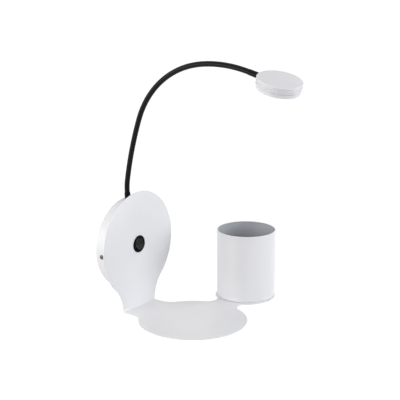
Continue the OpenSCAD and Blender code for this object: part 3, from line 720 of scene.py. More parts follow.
@dataclass(frozen=True)
class Board:
    """Printed board: solder mask over straight tracks, with pads of tin."""

    name: str
    colour: Colour
    track: Colour
    track_per_metre: float = 520.0

    def material(self) -> bpy.types.Material:
        """Builds the board's material."""
        shader = Shader(self.name)
        cells = shader.nodes.new("ShaderNodeTexVoronoi")
        cells.distance = "MANHATTAN"
        cells.inputs["Scale"].default_value = self.track_per_metre
        shader.links.new(shader.place, cells.inputs["Vector"])
        lines = shader.ranged(cells.outputs["Distance"], 0.0, 1.0, 0.42, 0.5)
        shader.link(shader.between(lines, self.colour, self.track), "Base Color")
        shader.link(shader.ranged(shader.noise(300.0), 0.3, 0.45), "Roughness")
        shader.bump((lines, 0.00002))
        return shader.material


def applied(finish: Coat | Metal | Moulding | Board) -> bpy.types.Material:
    """A field whose material is built together with the other finishes."""
    return field(default_factory=finish.material)


@dataclass(frozen=True)
class Finishes:
    """Every finish on the lamp, built once."""

    white: bpy.types.Material = applied(
        Coat("white_coat", (0.815, 0.81, 0.825), 0.32, 0.015, peel_height=0.000004))
    head_white: bpy.types.Material = applied(
        Coat("head_coat", (0.812, 0.80, 0.818), 0.32, 0.015, peel_height=0.000004))
    neck: bpy.types.Material = applied(
        Coat("neck_gloss", (0.003, 0.003, 0.0035), 0.12, 0.02, 900.0, 0.000002, 0.12))
    ferrule: bpy.types.Material = applied(
        Coat("ferrule_gloss", (0.003, 0.003, 0.0035), 0.12, 0.03, 700.0, 0.000003, 0.1))
    # painted shade: the cup's inside is coloured a darker bluish grey for the shade in its hollow.
    inside_painted_shade: bpy.types.Material = applied(
        Coat("cup_lining", (0.54, 0.555, 0.59), 0.38, 0.06, 540.0, 0.000016))
    zinc: bpy.types.Material = applied(
        Metal("zinc_steel", (0.62, 0.63, 0.65), 0.34, spangle_per_metre=260.0))
    steel: bpy.types.Material = applied(Metal("bright_steel", (0.66, 0.65, 0.63), 0.24))
    # painted reflection: steel darkened for the dark surroundings that the canopy's side screws reflect.
    dark_steel: bpy.types.Material = applied(Metal("dark_steel", (0.16, 0.145, 0.13), 0.3))
    brass: bpy.types.Material = applied(Metal("contact_brass", (0.78, 0.58, 0.28), 0.28))
    switch: bpy.types.Material = applied(Moulding("switch_black", (0.003, 0.003, 0.0035), 0.26, gloss=0.07))
    rocker: bpy.types.Material = applied(
        Moulding("rocker_black", (0.004, 0.004, 0.0045), 0.22, 3200.0, 0.000004, 0.2))
    rubber: bpy.types.Material = applied(
        Moulding("grommet_rubber", (0.02, 0.02, 0.021), 0.62, 1800.0, 0.00001, 0.3))
    case: bpy.types.Material = applied(Moulding("case_white", (0.72, 0.72, 0.70), 0.42))
    ivory: bpy.types.Material = applied(Moulding("block_ivory", (0.74, 0.70, 0.60), 0.38))
    green: bpy.types.Material = applied(Board("board_green", (0.02, 0.16, 0.06), (0.05, 0.26, 0.10)))
    board: bpy.types.Material = applied(Board("board_white", (0.78, 0.78, 0.76), (0.70, 0.71, 0.70)))
    parts: bpy.types.Material = applied(Moulding("parts_mixed", (0.30, 0.20, 0.06), 0.4))
    pad: bpy.types.Material = applied(Moulding("pad_grey", (0.32, 0.34, 0.36), 0.7, 1500.0, 0.00002, 0.2))
    phosphor: bpy.types.Material = applied(Moulding("chip_phosphor", (0.75, 0.62, 0.18), 0.35, milky=0.2))
    reflector: bpy.types.Material = applied(Moulding("reflector_white", (0.86, 0.86, 0.86), 0.22))
    frost: bpy.types.Material = applied(
        Moulding("diffuser_frost", (0.84, 0.84, 0.83), 0.48, 1400.0, 0.00001, milky=0.6))


def sleeve(name: str, colour: Colour) -> bpy.types.Material:
    """Builds a lead's sleeve: glossy plastic of one colour."""
    return Moulding(name, colour, 0.32, 900.0, 0.000004).material()


# ---- Places ----

CANOPY_TURN = 5.5
FRONT_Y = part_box("switch_housing")[0].y / MM + 1.8
BACK_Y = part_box("canopy")[0].y / MM


def on_canopy() -> Matrix:
    """The frame of the canopy, which hangs turned about the axis through the wall."""
    return Matrix.Rotation(math.radians(-CANOPY_TURN), 4, "Y")


def out_of_wall(x: float = 0.0, y: float = 0.0, z: float = 0.0) -> Matrix:
    """A frame at a point whose +Z points out of the wall."""
    return Matrix.Translation((x, y, z)) @ Matrix.Rotation(math.radians(90), 4, "X")


def into_wall(x: float = 0.0, y: float = 0.0, z: float = 0.0) -> Matrix:
    """A frame at a point whose +Z points into the wall."""
    return Matrix.Translation((x, y, z)) @ Matrix.Rotation(math.radians(-90), 4, "X")


def sideways(side: int, reach: float, y: float, z: float = 0.0) -> Matrix:
    """A frame on the canopy at reach to one side, with +Z pointing away from the middle."""
    return on_canopy() @ Matrix.Translation((side * reach, y, z)) @ Matrix.Rotation(
        math.radians(90 * side), 4, "Y")


# ---- Fasteners ----


class Drive(Enum):
    """The recess in a screw's head."""

    CROSS = "cross"
    SLOT = "slot"
    HEX = "hex"


@dataclass(frozen=True)
class Screw:
    """A screw whose head stands on Z = 0 with its shank below, in millimetres."""

    shank_r: float
    length: float
    head_r: float
    head_h: float
    drive: Drive = Drive.CROSS
    thread: float = 0.12
    recess_share: float = 0.55

    def shape(self) -> bpy.types.Object:
        """Makes the screw with its threads and its recess."""
        head = rounded(
            [Corner(self.shank_r, 0), Corner(self.head_r, 0, 0.15),
             Corner(self.head_r, self.head_h * 0.5, 0.5), Corner(self.head_r * 0.66, self.head_h, 1.2),
             Corner(0, self.head_h)],
            closed=False,
        )
        pitch = self.shank_r * 0.4
        turns = int(self.length / pitch - 0.5)
        outline: list[Point] = [(0, -self.length), (self.shank_r - self.thread - 0.1, -self.length)]
        for i in range(turns):
            low = -self.length + (i + 0.5) * pitch
            outline += [(self.shank_r - self.thread, low), (self.shank_r, low + pitch / 2)]
        outline += [(self.shank_r - self.thread, -self.length + (turns + 0.5) * pitch), *head]
        solid = turned("screw", outline, sides=48, closed=False)
        deep = self.head_h * self.recess_share
        top = self.head_h + 1
        wide = self.head_r * 0.62
        if self.drive is Drive.HEX:
            tool = rod("tool", wide, self.head_h - deep, top, sides=6)
        else:
            thin = self.head_r * 0.16
            tool = block("tool", (-wide, -thin, self.head_h - deep), (wide, thin, top))
            if self.drive is Drive.CROSS:
                other = block("other", (-thin, -wide, self.head_h - deep), (thin, wide, top))
                tool = joined(tool, other, Join.ADD)
        return smoothed(joined(solid, tool, Join.CUT))


@dataclass(frozen=True)
class Nut:
    """A hexagon nut standing on Z = 0, in millimetres, with chamfered corners."""

    flats: float
    height: float
    hole_r: float
    chamfer: float = 0.5

    def shape(self) -> bpy.types.Object:
        """Makes the nut."""
        corner = self.flats / math.sqrt(3)
        body = rod("nut", corner, 0, self.height, sides=6)
        rim = [(0, 0), (corner - self.chamfer, 0), (corner + 0.05, self.chamfer * 0.6),
               (corner + 0.05, self.height - self.chamfer * 0.6), (corner - self.chamfer, self.height),
               (0, self.height)]
        body = joined(body, turned("rim", rim, sides=96, closed=False), Join.KEEP)
        pitch = 0.7
        bore: list[Point] = [(0, -0.5), (self.hole_r + 0.25, -0.5)]
        steps = int(self.height / pitch)
        for i in range(steps + 1):
            bore += [(self.hole_r, i * pitch), (self.hole_r + 0.15, (i + 0.5) * pitch)]
        bore += [(self.hole_r + 0.25, self.height + 0.5), (0, self.height + 0.5)]
        body = joined(body, turned("bore", bore, sides=48, closed=False), Join.CUT)
        return smoothed(body, 25)


# ---- Folded sheet ----


@dataclass
class FoldedSheet:
    """One sheet cut to its outline and folded once: wall disc, shelf, bridge and cup plate."""

    disc_r: float = 71.0
    thick: float = 1.5
    drop: float = 86.4
    reach: float = 88.5
    waist_half: float = 32.5
    strip_half: float = 32.7
    fold_r: float = 2.0
    wall_hollow_r: float = 50.0
    shelf_hollow_r: float = 20.0
    bridge_hollow_r: float = 14.0
    plate_r: float = 41.0
    plate_side: float = 122.0
    cup_side: float = 123.3
    edge_r: float = 0.35
    fold_steps: int = 8
    switch_hole_r: float = 10.1
    screw_hole_r: float = 2.1
    stud_x: float = 30.0
    stud_r: float = 2.0
    stud_len: float = 6.0

    def fold_length(self) -> float:
        """Length of the sheet's front face round the fold."""
        return self.fold_r * math.pi / 2

    def wall_line(self) -> list[Point]:
        """Outline of the wall part, seen from the room, from the fold's left to its right."""
        up = self.drop - self.fold_r
        side_x = self.waist_half + self.wall_hollow_r
        rise = math.sqrt((self.disc_r + self.wall_hollow_r) ** 2 - side_x ** 2)
        touch = math.degrees(math.atan2(rise, side_x))
        low = math.degrees(math.acos((side_x - self.strip_half) / self.wall_hollow_r))
        right = arc((side_x, up - rise), self.wall_hollow_r, 180 - touch, 180 - low, 24)
        disc = arc((0, up), self.disc_r, -touch, 180 + touch, 200)
        left = [(-x, v) for x, v in right]
        return [(-self.strip_half, 0.0), *left[::-1][1:-1], *disc[::-1], *right[1:-1],
                (self.strip_half, 0.0)]

    def shelf_line(self) -> list[Point]:
        """Outline of the shelf part, from the fold's right to its left, seen from above."""
        middle = -self.fold_length() - (self.reach - self.fold_r)
        side_x = self.strip_half + self.shelf_hollow_r
        rise = math.sqrt((self.disc_r + self.shelf_hollow_r) ** 2 - side_x ** 2)
        touch = math.degrees(math.atan2(rise, side_x))
        to_disc, to_plate = self.disc_r + self.bridge_hollow_r, self.plate_r + self.bridge_hollow_r
        bridge_x = (self.plate_side ** 2 + to_disc ** 2 - to_plate ** 2) / (2 * self.plate_side)
        bridge_v = math.sqrt(to_disc ** 2 - bridge_x ** 2)
        at_disc = math.degrees(math.atan2(bridge_v, bridge_x))
        at_plate = math.degrees(math.atan2(bridge_v, bridge_x - self.plate_side))
        centre = (0.0, middle)
        right = arc((side_x, middle + rise), self.shelf_hollow_r, 180, 180 + touch, 16)
        near = arc(centre, self.disc_r, touch, at_disc, 40)
        bridge_near = arc((bridge_x, middle + bridge_v), self.bridge_hollow_r, 180 + at_disc,
                          180 + at_plate, 20)
        plate = arc((self.plate_side, middle), self.plate_r, at_plate, -at_plate, 128)
        bridge_far = arc((bridge_x, middle - bridge_v), self.bridge_hollow_r, 180 - at_plate,
                         180 - at_disc, 20)
        far = arc(centre, self.disc_r, -at_disc, -180 - touch, 180)
        left = [(-x, v) for x, v in right]
        start = (self.strip_half, -self.fold_length())
        return [start, *right, *near[1:], *bridge_near[1:], *plate[1:], *bridge_far[1:], *far[1:],
                *left[::-1][1:], (-start[0], start[1])]

    def folded(self, x: float, v: float, deep: float) -> Place:
        """Where a point of the flat sheet lies after folding.

        Args:
            x: distance to the right of the middle.
            v: distance above the fold's start, along the front face.
            deep: distance behind the front face.

        Returns:
            The point, in millimetres.
        """
        centre_y, centre_z = FRONT_Y - self.fold_r, -self.drop + self.fold_r
        if v >= 0:
            return (x, FRONT_Y + deep, centre_z + v)
        if v <= -self.fold_length():
            return (x, centre_y + v + self.fold_length(), -self.drop - deep)
        turn = -v / self.fold_r
        out = self.fold_r + deep
        return (x, centre_y + out * math.cos(turn), centre_z - out * math.sin(turn))

    def rim(self) -> list[Point]:
        """Section of the sheet's edge, as (inset, depth) from the front face to the back face."""
        turns = [math.radians(30 * i) for i in range(4)]
        front = [(self.edge_r * (1 - math.sin(a)), self.edge_r * (1 - math.cos(a))) for a in turns]
        return front + [(inset, self.thick - deep) for inset, deep in front[::-1]]

    def shape(self) -> bpy.types.Object:
        """Makes the folded sheet with its rounded edge and its two holes."""
        wall, shelf = self.wall_line(), self.shelf_line()
        bend = [-self.fold_length() * i / self.fold_steps for i in range(1, self.fold_steps)]
        right = [(self.strip_half, v) for v in bend]
        left = [(-self.strip_half, v) for v in bend[::-1]]
        line = [*wall, *right, *shelf, *left]
        count, rim = len(line), self.rim()
        points: list[Place] = []
        for i, (x, v) in enumerate(line):
            before, after = Vector(line[i - 1]), Vector(line[(i + 1) % count])
            here = Vector((x, v))
            along = ((here - before).normalized() + (after - here).normalized()).normalized()
            inward = Vector((along.y, -along.x))
            points += [self.folded(x + inward.x * inset, v + inward.y * inset * self.keeps_line(v), deep)
                       for inset, deep in rim]
        size = len(rim)
        faces: list[list[int]] = []
        for i in range(count):
            j = (i + 1) % count
            faces += [[i * size + k, j * size + k, j * size + k + 1, i * size + k + 1]
                      for k in range(size - 1)]
        shelf_at = len(wall) + len(right)
        across = [(len(wall) - 1 + k, (count - k) % count) for k in range(self.fold_steps + 1)]
        for k in (0, size - 1):
            faces.append([i * size + k for i in range(len(wall))])
            faces.append([i * size + k for i in range(shelf_at, shelf_at + len(shelf))])
            for (a, b), (c, d) in zip(across, across[1:]):
                faces.append([a * size + k, b * size + k, d * size + k, c * size + k])
        sheet = mesh_object("folded_sheet_skin", points, faces)
        holes = gathered("holes", [
            rod("hole", self.switch_hole_r, -5, 5, out_of_wall(0, FRONT_Y, 0), 96),
            rod("hole", self.screw_hole_r, -5, 5,
                Matrix.Translation((self.cup_side, FRONT_Y - self.reach, -self.drop))),
        ])
        return smoothed(joined(sheet, holes, Join.CUT), 32)

    def keeps_line(self, v: float) -> float:
        """0 on the fold, where an edge point may only move sideways, and 1 elsewhere."""
        return 0.0 if -self.fold_length() - 1e-6 <= v <= 1e-6 else 1.0

    def studs(self, finish: bpy.types.Material) -> bpy.types.Object:
        """Makes the two threaded studs welded to the sheet's back."""
        pitch, root = 0.7, self.stud_r - 0.25
        outline: list[Point] = [(0, 0), (root, 0)]
        for i in range(int(self.stud_len / pitch)):
            outline += [(root, i * pitch + 0.1), (self.stud_r, i * pitch + 0.45)]
        outline += [(root, self.stud_len - 0.3), (root - 0.4, self.stud_len), (0, self.stud_len)]
        stud = smoothed(turned("stud", outline, sides=40, closed=False))
        places = [into_wall(side * self.stud_x, BACK_Y, 0) for side in (-1, 1)]
        return copies("welded_studs", stud, places, finish)

    def build(self, finishes: Finishes) -> None:
        """Adds the sheet and its studs to the scene."""
        shown(self.shape(), finishes.white, ["folded_sheet"])
        studs = self.studs(finishes.steel)
        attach(studs, "wall_unit")


# ---- Canopy ----


@dataclass
class Canopy:
    """Shallow round pan behind the wall disc, with its side screws."""

    outer_r: float = 60.0
    depth: float = 21.0
    metal: float = 1.2
    edge_r: float = 1.8
    root_y: float = -9.7
    stem_hole_r: float = 3.1
    screw_y: float = -9.5
    side_hole_r: float = 1.6
    stud_room: float = 0.1
    earth: Point = (14.0, 24.0)
    earth_hole_r: float = 2.05
    tag_t: float = 0.8
    side_screw: Screw = Screw(1.5, 8.0, 3.0, 1.9)
    stud_nut: Nut = Nut(7.0, 3.2, 2.05)
    earth_screw: Screw = Screw(2.0, 2.0, 3.5, 2.2)

    def shape(self, sheet: FoldedSheet) -> bpy.types.Object:
        """Makes the pan, with the holes that its fittings pass through."""
        inner = self.outer_r - self.metal
        web = self.depth - self.metal
        outline = rounded([
            Corner(0, self.depth), Corner(self.outer_r, self.depth, self.edge_r),
            Corner(self.outer_r, 0, 0.25), Corner(inner, 0, 0.25),
            Corner(inner, web, self.edge_r - self.metal + 0.3), Corner(0, web),
        ], closed=False, steps=6)
        pan = turned("canopy_pan", outline, out_of_wall(), 200, closed=False)
        holes = [rod("hole", sheet.switch_hole_r, -web + 5, self.depth + 1, out_of_wall(), 96)]
        holes += [rod("hole", sheet.stud_r + self.stud_room, web - 1, self.depth + 1,
                      out_of_wall(side * sheet.stud_x)) for side in (-1, 1)]
        stem = on_canopy() @ Matrix.Translation((0, self.root_y, 0))
        holes.append(rod("hole", self.stem_hole_r, inner - 2, self.outer_r + 1, stem))
        holes += [rod("hole", self.side_hole_r, -3, 1, sideways(side, self.outer_r, self.screw_y))
                  for side in (-1, 1)]
        holes.append(rod("hole", self.earth_hole_r, -self.metal - 1, 1,
                         on_canopy() @ out_of_wall(self.earth[0], -self.depth, self.earth[1])))
        return smoothed(joined(pan, gathered("holes", holes), Join.CUT), 32)

    def build(self, finishes: Finishes, sheet: FoldedSheet) -> None:
        """Adds the canopy and what is screwed to it."""
        shown(self.shape(sheet), finishes.white, ["canopy"])
        # The side screws wear steel darkened as a painted reflection of dark surroundings.
        fastened("canopy_side_screws", self.side_screw.shape(),
                 [sideways(side, self.outer_r, self.screw_y) for side in (-1, 1)], finishes.dark_steel,
                 "side_screws")
        web_y = -self.depth + self.metal
        studs = [into_wall(side * sheet.stud_x, web_y, 0) for side in (-1, 1)]
        fastened("stud_nuts", self.stud_nut.shape(), studs, finishes.zinc, "sheet_nuts")
        earth = on_canopy() @ into_wall(self.earth[0], web_y + self.tag_t, self.earth[1])
        fastened("earth_point_screw", self.earth_screw.shape(), [earth], finishes.zinc, "earth_screw")


# ---- Rocker switch ----


@dataclass
class RockerSwitch:
    """Round rocker switch: bezel, body and the rocker that tilts in it."""

    bezel_r: float = 11.5
    proud: float = 1.8
    body_r: float = 9.9
    deep: float = 13.5
    ball_r: float = 8.3
    face: float = 2.6
    back: float = 3.5
    tilt: float = 7.0
    pin_r: float = 0.85
    room: float = 0.3
    pivot_in: float = 1.0
    wing_from: float = 2.8
    wing_to: float = 7.8
    wing_half: float = 2.0
    rows: int = 110
    columns: int = 144
    crest: float = 0.006
    softness: float = 26.0

    def housing(self) -> bpy.types.Object:
        """Makes the bezel and the body with the round well that the rocker turns in."""
        well = self.ball_r + self.room
        pivot = -self.pivot_in
        outline = rounded([
            Corner(0, -self.deep), Corner(self.body_r, -self.deep, 0.5), Corner(self.body_r, 0, 0.1),
            Corner(self.bezel_r, 0, 0.2), Corner(self.bezel_r, self.proud * 0.55, 0.5),
            Corner(self.bezel_r - 1.0, self.proud, 0.8), Corner(well + 0.55, self.proud, 0.35),
            Corner(well, self.proud - 0.8, 0.3), Corner(well, pivot - well, 0.4), Corner(0, pivot - well),
        ], closed=False)
        shell = turned("switch_shell", outline, out_of_wall(0, FRONT_Y, 0), 144, closed=False)
        wings = []
        for side in (-1, 1):
            low, high = sorted((side * (self.body_r - 0.4), side * (self.body_r + 1)))
            wings.append(block("wing", (low, FRONT_Y + self.wing_from, -self.wing_half),
                               (high, FRONT_Y + self.wing_to, self.wing_half)))
        shell = joined(shell, gathered("wings", wings), Join.ADD)
        pin = rod("pin", self.pin_r, -9.2, 9.2,
                  Matrix.Translation((0, FRONT_Y + self.pivot_in, 0)) @ Matrix.Rotation(
                      math.radians(90), 4, "Y"))
        return smoothed(joined(shell, pin, Join.CUT), 32)

    def rocker(self) -> bpy.types.Object:
        """Makes the rocker: a ball with a flat back and a shallow roof-shaped hollow in front."""
        rows, columns = self.rows, self.columns
        slope = math.tan(math.radians(self.tilt))
        points: list[Place] = []
        for i in range(rows + 1):
            polar = math.pi * i / rows
            for j in range(1 if i in (0, rows) else columns):
                a = 2 * math.pi * j / columns
                out = math.sin(polar)
                way = Vector((out * math.cos(a), -math.cos(polar), out * math.sin(a)))
                nearness = self.ball_r ** -self.softness
                rise = -way.y - slope * math.sqrt(way.z ** 2 + self.crest)
                if rise > 0:
                    nearness += (self.face / rise) ** -self.softness
                if way.y > 0:
                    nearness += (self.back / way.y) ** -self.softness
                points.append(tuple(way * nearness ** (-1 / self.softness)))
        first, last = 0, len(points) - 1
        faces: list[list[int]] = []
        for j in range(columns):
            k = (j + 1) % columns
            faces.append([first, 1 + j, 1 + k])
            faces.append([last, last - columns + k, last - columns + j])
            for i in range(rows - 2):
                low, high = 1 + i * columns, 1 + (i + 1) * columns
                faces.append([low + j, high + j, high + k, low + k])
        place = Matrix.Translation((0, FRONT_Y + self.pivot_in, 0)) @ Matrix.Rotation(
            math.radians(-self.tilt), 4, "X")
        ball = mesh_object("rocker_cap", points, faces, place)
        pin = rod("pin", self.pin_r, -12, 12, place @ Matrix.Rotation(math.radians(90), 4, "Y"))
        return smoothed(joined(ball, pin, Join.CUT), 40)

    def build(self, finishes: Finishes) -> None:
        """Adds the switch to the scene."""
        shown(self.housing(), finishes.switch, ["switch_housing"])
        shown(self.rocker(), finishes.rocker, ["switch_rocker"], "rocker")


# ---- Flexible neck ----


@dataclass
class NeckPath:
    """The neck's middle line: arcs that follow each other in the plane of the turned canopy."""

    start: Point = (-9.7, 70.0)
    arcs: tuple[tuple[float, float], ...] = ((18.0, 13.0), (89.0, 9.5), (137.5, 59.5), (68.0, 22.0))

    def length(self) -> float:
        """Length of the neck that bends."""
        return sum(length for length, _ in self.arcs)

    def pose(self, s: float) -> tuple[float, float, float]:
        """Place and heading at a distance along the neck.

        Args:
            s: distance from the root, in millimetres. It may run past both ends.

        Returns:
            Distance from the wall, height, and heading in degrees from straight up.
        """
        y, z = self.start
        heading = 0.0
        for length, turn in self.arcs:
            if s <= 0:
                break
            part = min(s, length)
            radius = length / math.radians(turn)
            ahead = heading + turn * part / length
            y += radius * (math.cos(math.radians(ahead)) - math.cos(math.radians(heading)))
            z += radius * (math.sin(math.radians(ahead)) - math.sin(math.radians(heading)))
            heading = ahead
            s -= part
            if part < length:
                return y, z, heading
        return y - s * math.sin(math.radians(heading)), z + s * math.cos(math.radians(heading)), heading

    def point(self, s: float) -> Place:
        """The middle line's point at a distance along the neck, in the canopy's frame."""
        y, z, _ = self.pose(s)
        return (0.0, y, z)


@dataclass
class FlexibleNeck:
    """Ribbed neck, in one piece for each joint, and the ferrules at its ends."""

    path: NeckPath = field(default_factory=NeckPath)
    radius: float = 3.5
    bore_r: float = 2.2
    rib_depth: float = 0.22
    rib_fullness: float = 0.55
    joints: int = 9
    ribs_per_joint: int = 16
    ribs_in_ferrule: int = 3
    low_ferrule_r: float = 3.95
    top_ferrule_r: float = 3.75
    low_ferrule_len: float = 10.0
    top_ferrule_len: float = 15.0
    stem_r: float = 3.0
    canopy_r: float = 60.0
    stub_r: float = 2.5
    lead_bore_r: float = 1.5
    seat_room: float = 0.05
    seat_deep: float = 8.0
    stem_turns: int = 9
    stem_pitch: float = 0.75
    canopy_metal: float = 1.2
    nut_half: float = 5.5
    nut_drop: float = 3.8
    stem_nut: Nut = Nut(10.0, 3.0, 3.05)

    def tube(self, start: float, end: float, radius: float, depth: float, ribs: int,
             finish: bpy.types.Material) -> bpy.types.Object:
        """Sweeps one open tube along a stretch of the neck."""
        steps = 96
        points = [self.path.point(start + (end - start) * i / steps) for i in range(steps + 1)]
        return sweep_tree().run(
            path_object(points, on_canopy()), "tube", Radius=radius * MM, Rib_Depth=depth * MM,
            Rib_Fullness=self.rib_fullness, Ribs=ribs, Rings_Per_Rib=8, Sides=32, Fill_Caps=False,
            Finish=finish,
        )

    def stretch(self, k: int, finish: bpy.types.Material) -> bpy.types.Object:
        """Makes the piece of the neck round joint k, from the middle of one link to the next.

        Args:
            k: the joint's number, from 1.
            finish: the neck's material.

        Returns:
            A closed tube with its bore.
        """
        pitch = self.path.length() / self.joints
        rib = pitch / self.ribs_per_joint
        more_low = self.ribs_in_ferrule if k == 1 else 0
        more_high = self.ribs_in_ferrule if k == self.joints else 0
        start, end = (k - 1) * pitch - more_low * rib, k * pitch + more_high * rib
        ribs = self.ribs_per_joint + more_low + more_high
        outside = self.tube(start, end, self.radius, self.rib_depth, ribs, finish)
        inside = self.tube(start, end, self.bore_r, 0.0, ribs, finish)
        both = gathered(f"neck_stretch_{k}", [outside, inside])
        shape = bmesh.new()
        shape.from_mesh(both.data)
        for s in (start, end):
            spot = (on_canopy() @ Vector(self.path.point(s))) * MM
            near = (self.radius + 1) * MM
            rims = [e for e in shape.edges
                    if e.is_boundary and (e.verts[0].co - spot).length < near]
            bmesh.ops.bridge_loops(shape, edges=rims)
        bmesh.ops.recalc_face_normals(shape, faces=shape.faces)
        shape.to_mesh(both.data)
        shape.free()
        return smoothed(both, 55)

    def add_stretch(self, k: int, finish: bpy.types.Material) -> None:
        """Adds the piece round joint k in place of its nodes, on no body."""
        piece = self.stretch(k, finish)
        nodes = [f"neck_link_{k}"] if k < self.joints else ["neck_tip"]
        if k == 1:
            nodes.insert(0, "neck_root")
        pitch = self.path.length() / self.joints
        start, end = ((on_canopy() @ Vector(self.path.point(s))) * MM for s in ((k - 1) * pitch, k * pitch))
        shown(piece, finish, nodes, "")
        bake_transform(piece)

    def low_ferrule(self) -> bpy.types.Object:
        """Makes the ferrule that stands on the canopy, with its threaded stem inside."""
        place = on_canopy() @ Matrix.Translation((0, self.path.start[0], 0))
        top = self.canopy_r + self.low_ferrule_len
        skirt = turned("low_ferrule_cover", rounded([
            Corner(0, self.canopy_r - 1), Corner(self.low_ferrule_r, self.canopy_r - 1),
            Corner(self.low_ferrule_r, top, 0.6), Corner(0, top),
        ], closed=False), place, 96, closed=False)
        skirt = joined(skirt, rod("pan", self.canopy_r, -1, 30, out_of_wall(), 200), Join.CUT)
        stem: list[Point] = [(0, self.canopy_r - 8), (self.stem_r - 0.6, self.canopy_r - 8)]
        for i in range(self.stem_turns):
            low = self.canopy_r - 7.6 + i * self.stem_pitch
            stem += [(self.stem_r - 0.3, low), (self.stem_r, low + self.stem_pitch / 2)]
        stem += [(self.stem_r - 0.3, self.canopy_r - 0.9), (self.stem_r - 0.3, self.canopy_r + 1),
                 (0, self.canopy_r + 1)]
        solid = joined(skirt, turned("stem", stem, place, 64, closed=False), Join.ADD)
        solid = joined(solid, rod("bore", self.bore_r, self.canopy_r - 9, top - 4, place), Join.CUT)
        seat = rod("seat", self.radius + self.seat_room, top - self.seat_deep, top + 1, place)
        solid = joined(solid, seat, Join.CUT)
        return smoothed(solid, 32)

    def top_ferrule(self, head: "LightHead") -> bpy.types.Object:
        """Makes the ferrule that plugs into the head."""
        place = self.end()
        reach = self.top_ferrule_len + head.outer_r - head.boss_face
        cover = turned("top_ferrule_cover", rounded([
            Corner(0, 0), Corner(self.top_ferrule_r, 0, 0.6),
            Corner(self.top_ferrule_r, self.top_ferrule_len + 0.5), Corner(0, self.top_ferrule_len + 0.5),
        ], closed=False), place, 96, closed=False)
        cover = joined(cover, rod("side", head.outer_r, -20, 10, head.place(self), 200), Join.CUT)
        stub = rod("stub", self.stub_r, self.top_ferrule_len - 2, reach, place)
        solid = joined(cover, stub, Join.ADD)
        solid = joined(solid, rod("bore", self.lead_bore_r, self.seat_deep - 1, reach + 1, place), Join.CUT)
        seat = rod("seat", self.radius + self.seat_room, -1, self.seat_deep, place)
        solid = joined(solid, seat, Join.CUT)
        return smoothed(solid, 32)

    def end(self) -> Matrix:
        """The frame at the neck's end, with +Z along it and +Y on the head's upper side."""
        y, z, heading = self.path.pose(self.path.length())
        turn = Matrix.Rotation(math.radians(heading), 4, "X")
        return on_canopy() @ Matrix.Translation((0, y, z)) @ turn

    def build(self, finishes: Finishes, head: "LightHead") -> None:
        """Adds the neck and its ferrules."""
        for k in range(1, self.joints + 1):
            self.add_stretch(k, finishes.neck)
        shown(self.low_ferrule(), finishes.ferrule, ["lower_ferrule"])
        shown(self.top_ferrule(head), finishes.ferrule, ["upper_ferrule"], "head")
        seat = math.sqrt((self.canopy_r - self.canopy_metal) ** 2 - self.nut_half ** 2) - 0.02
        place = on_canopy() @ Matrix.Translation((0, self.path.start[0], seat - self.nut_drop))
        fastened("stem_nut", self.stem_nut.shape(), [place], finishes.zinc, "root_nut")


# ---- Light head ----


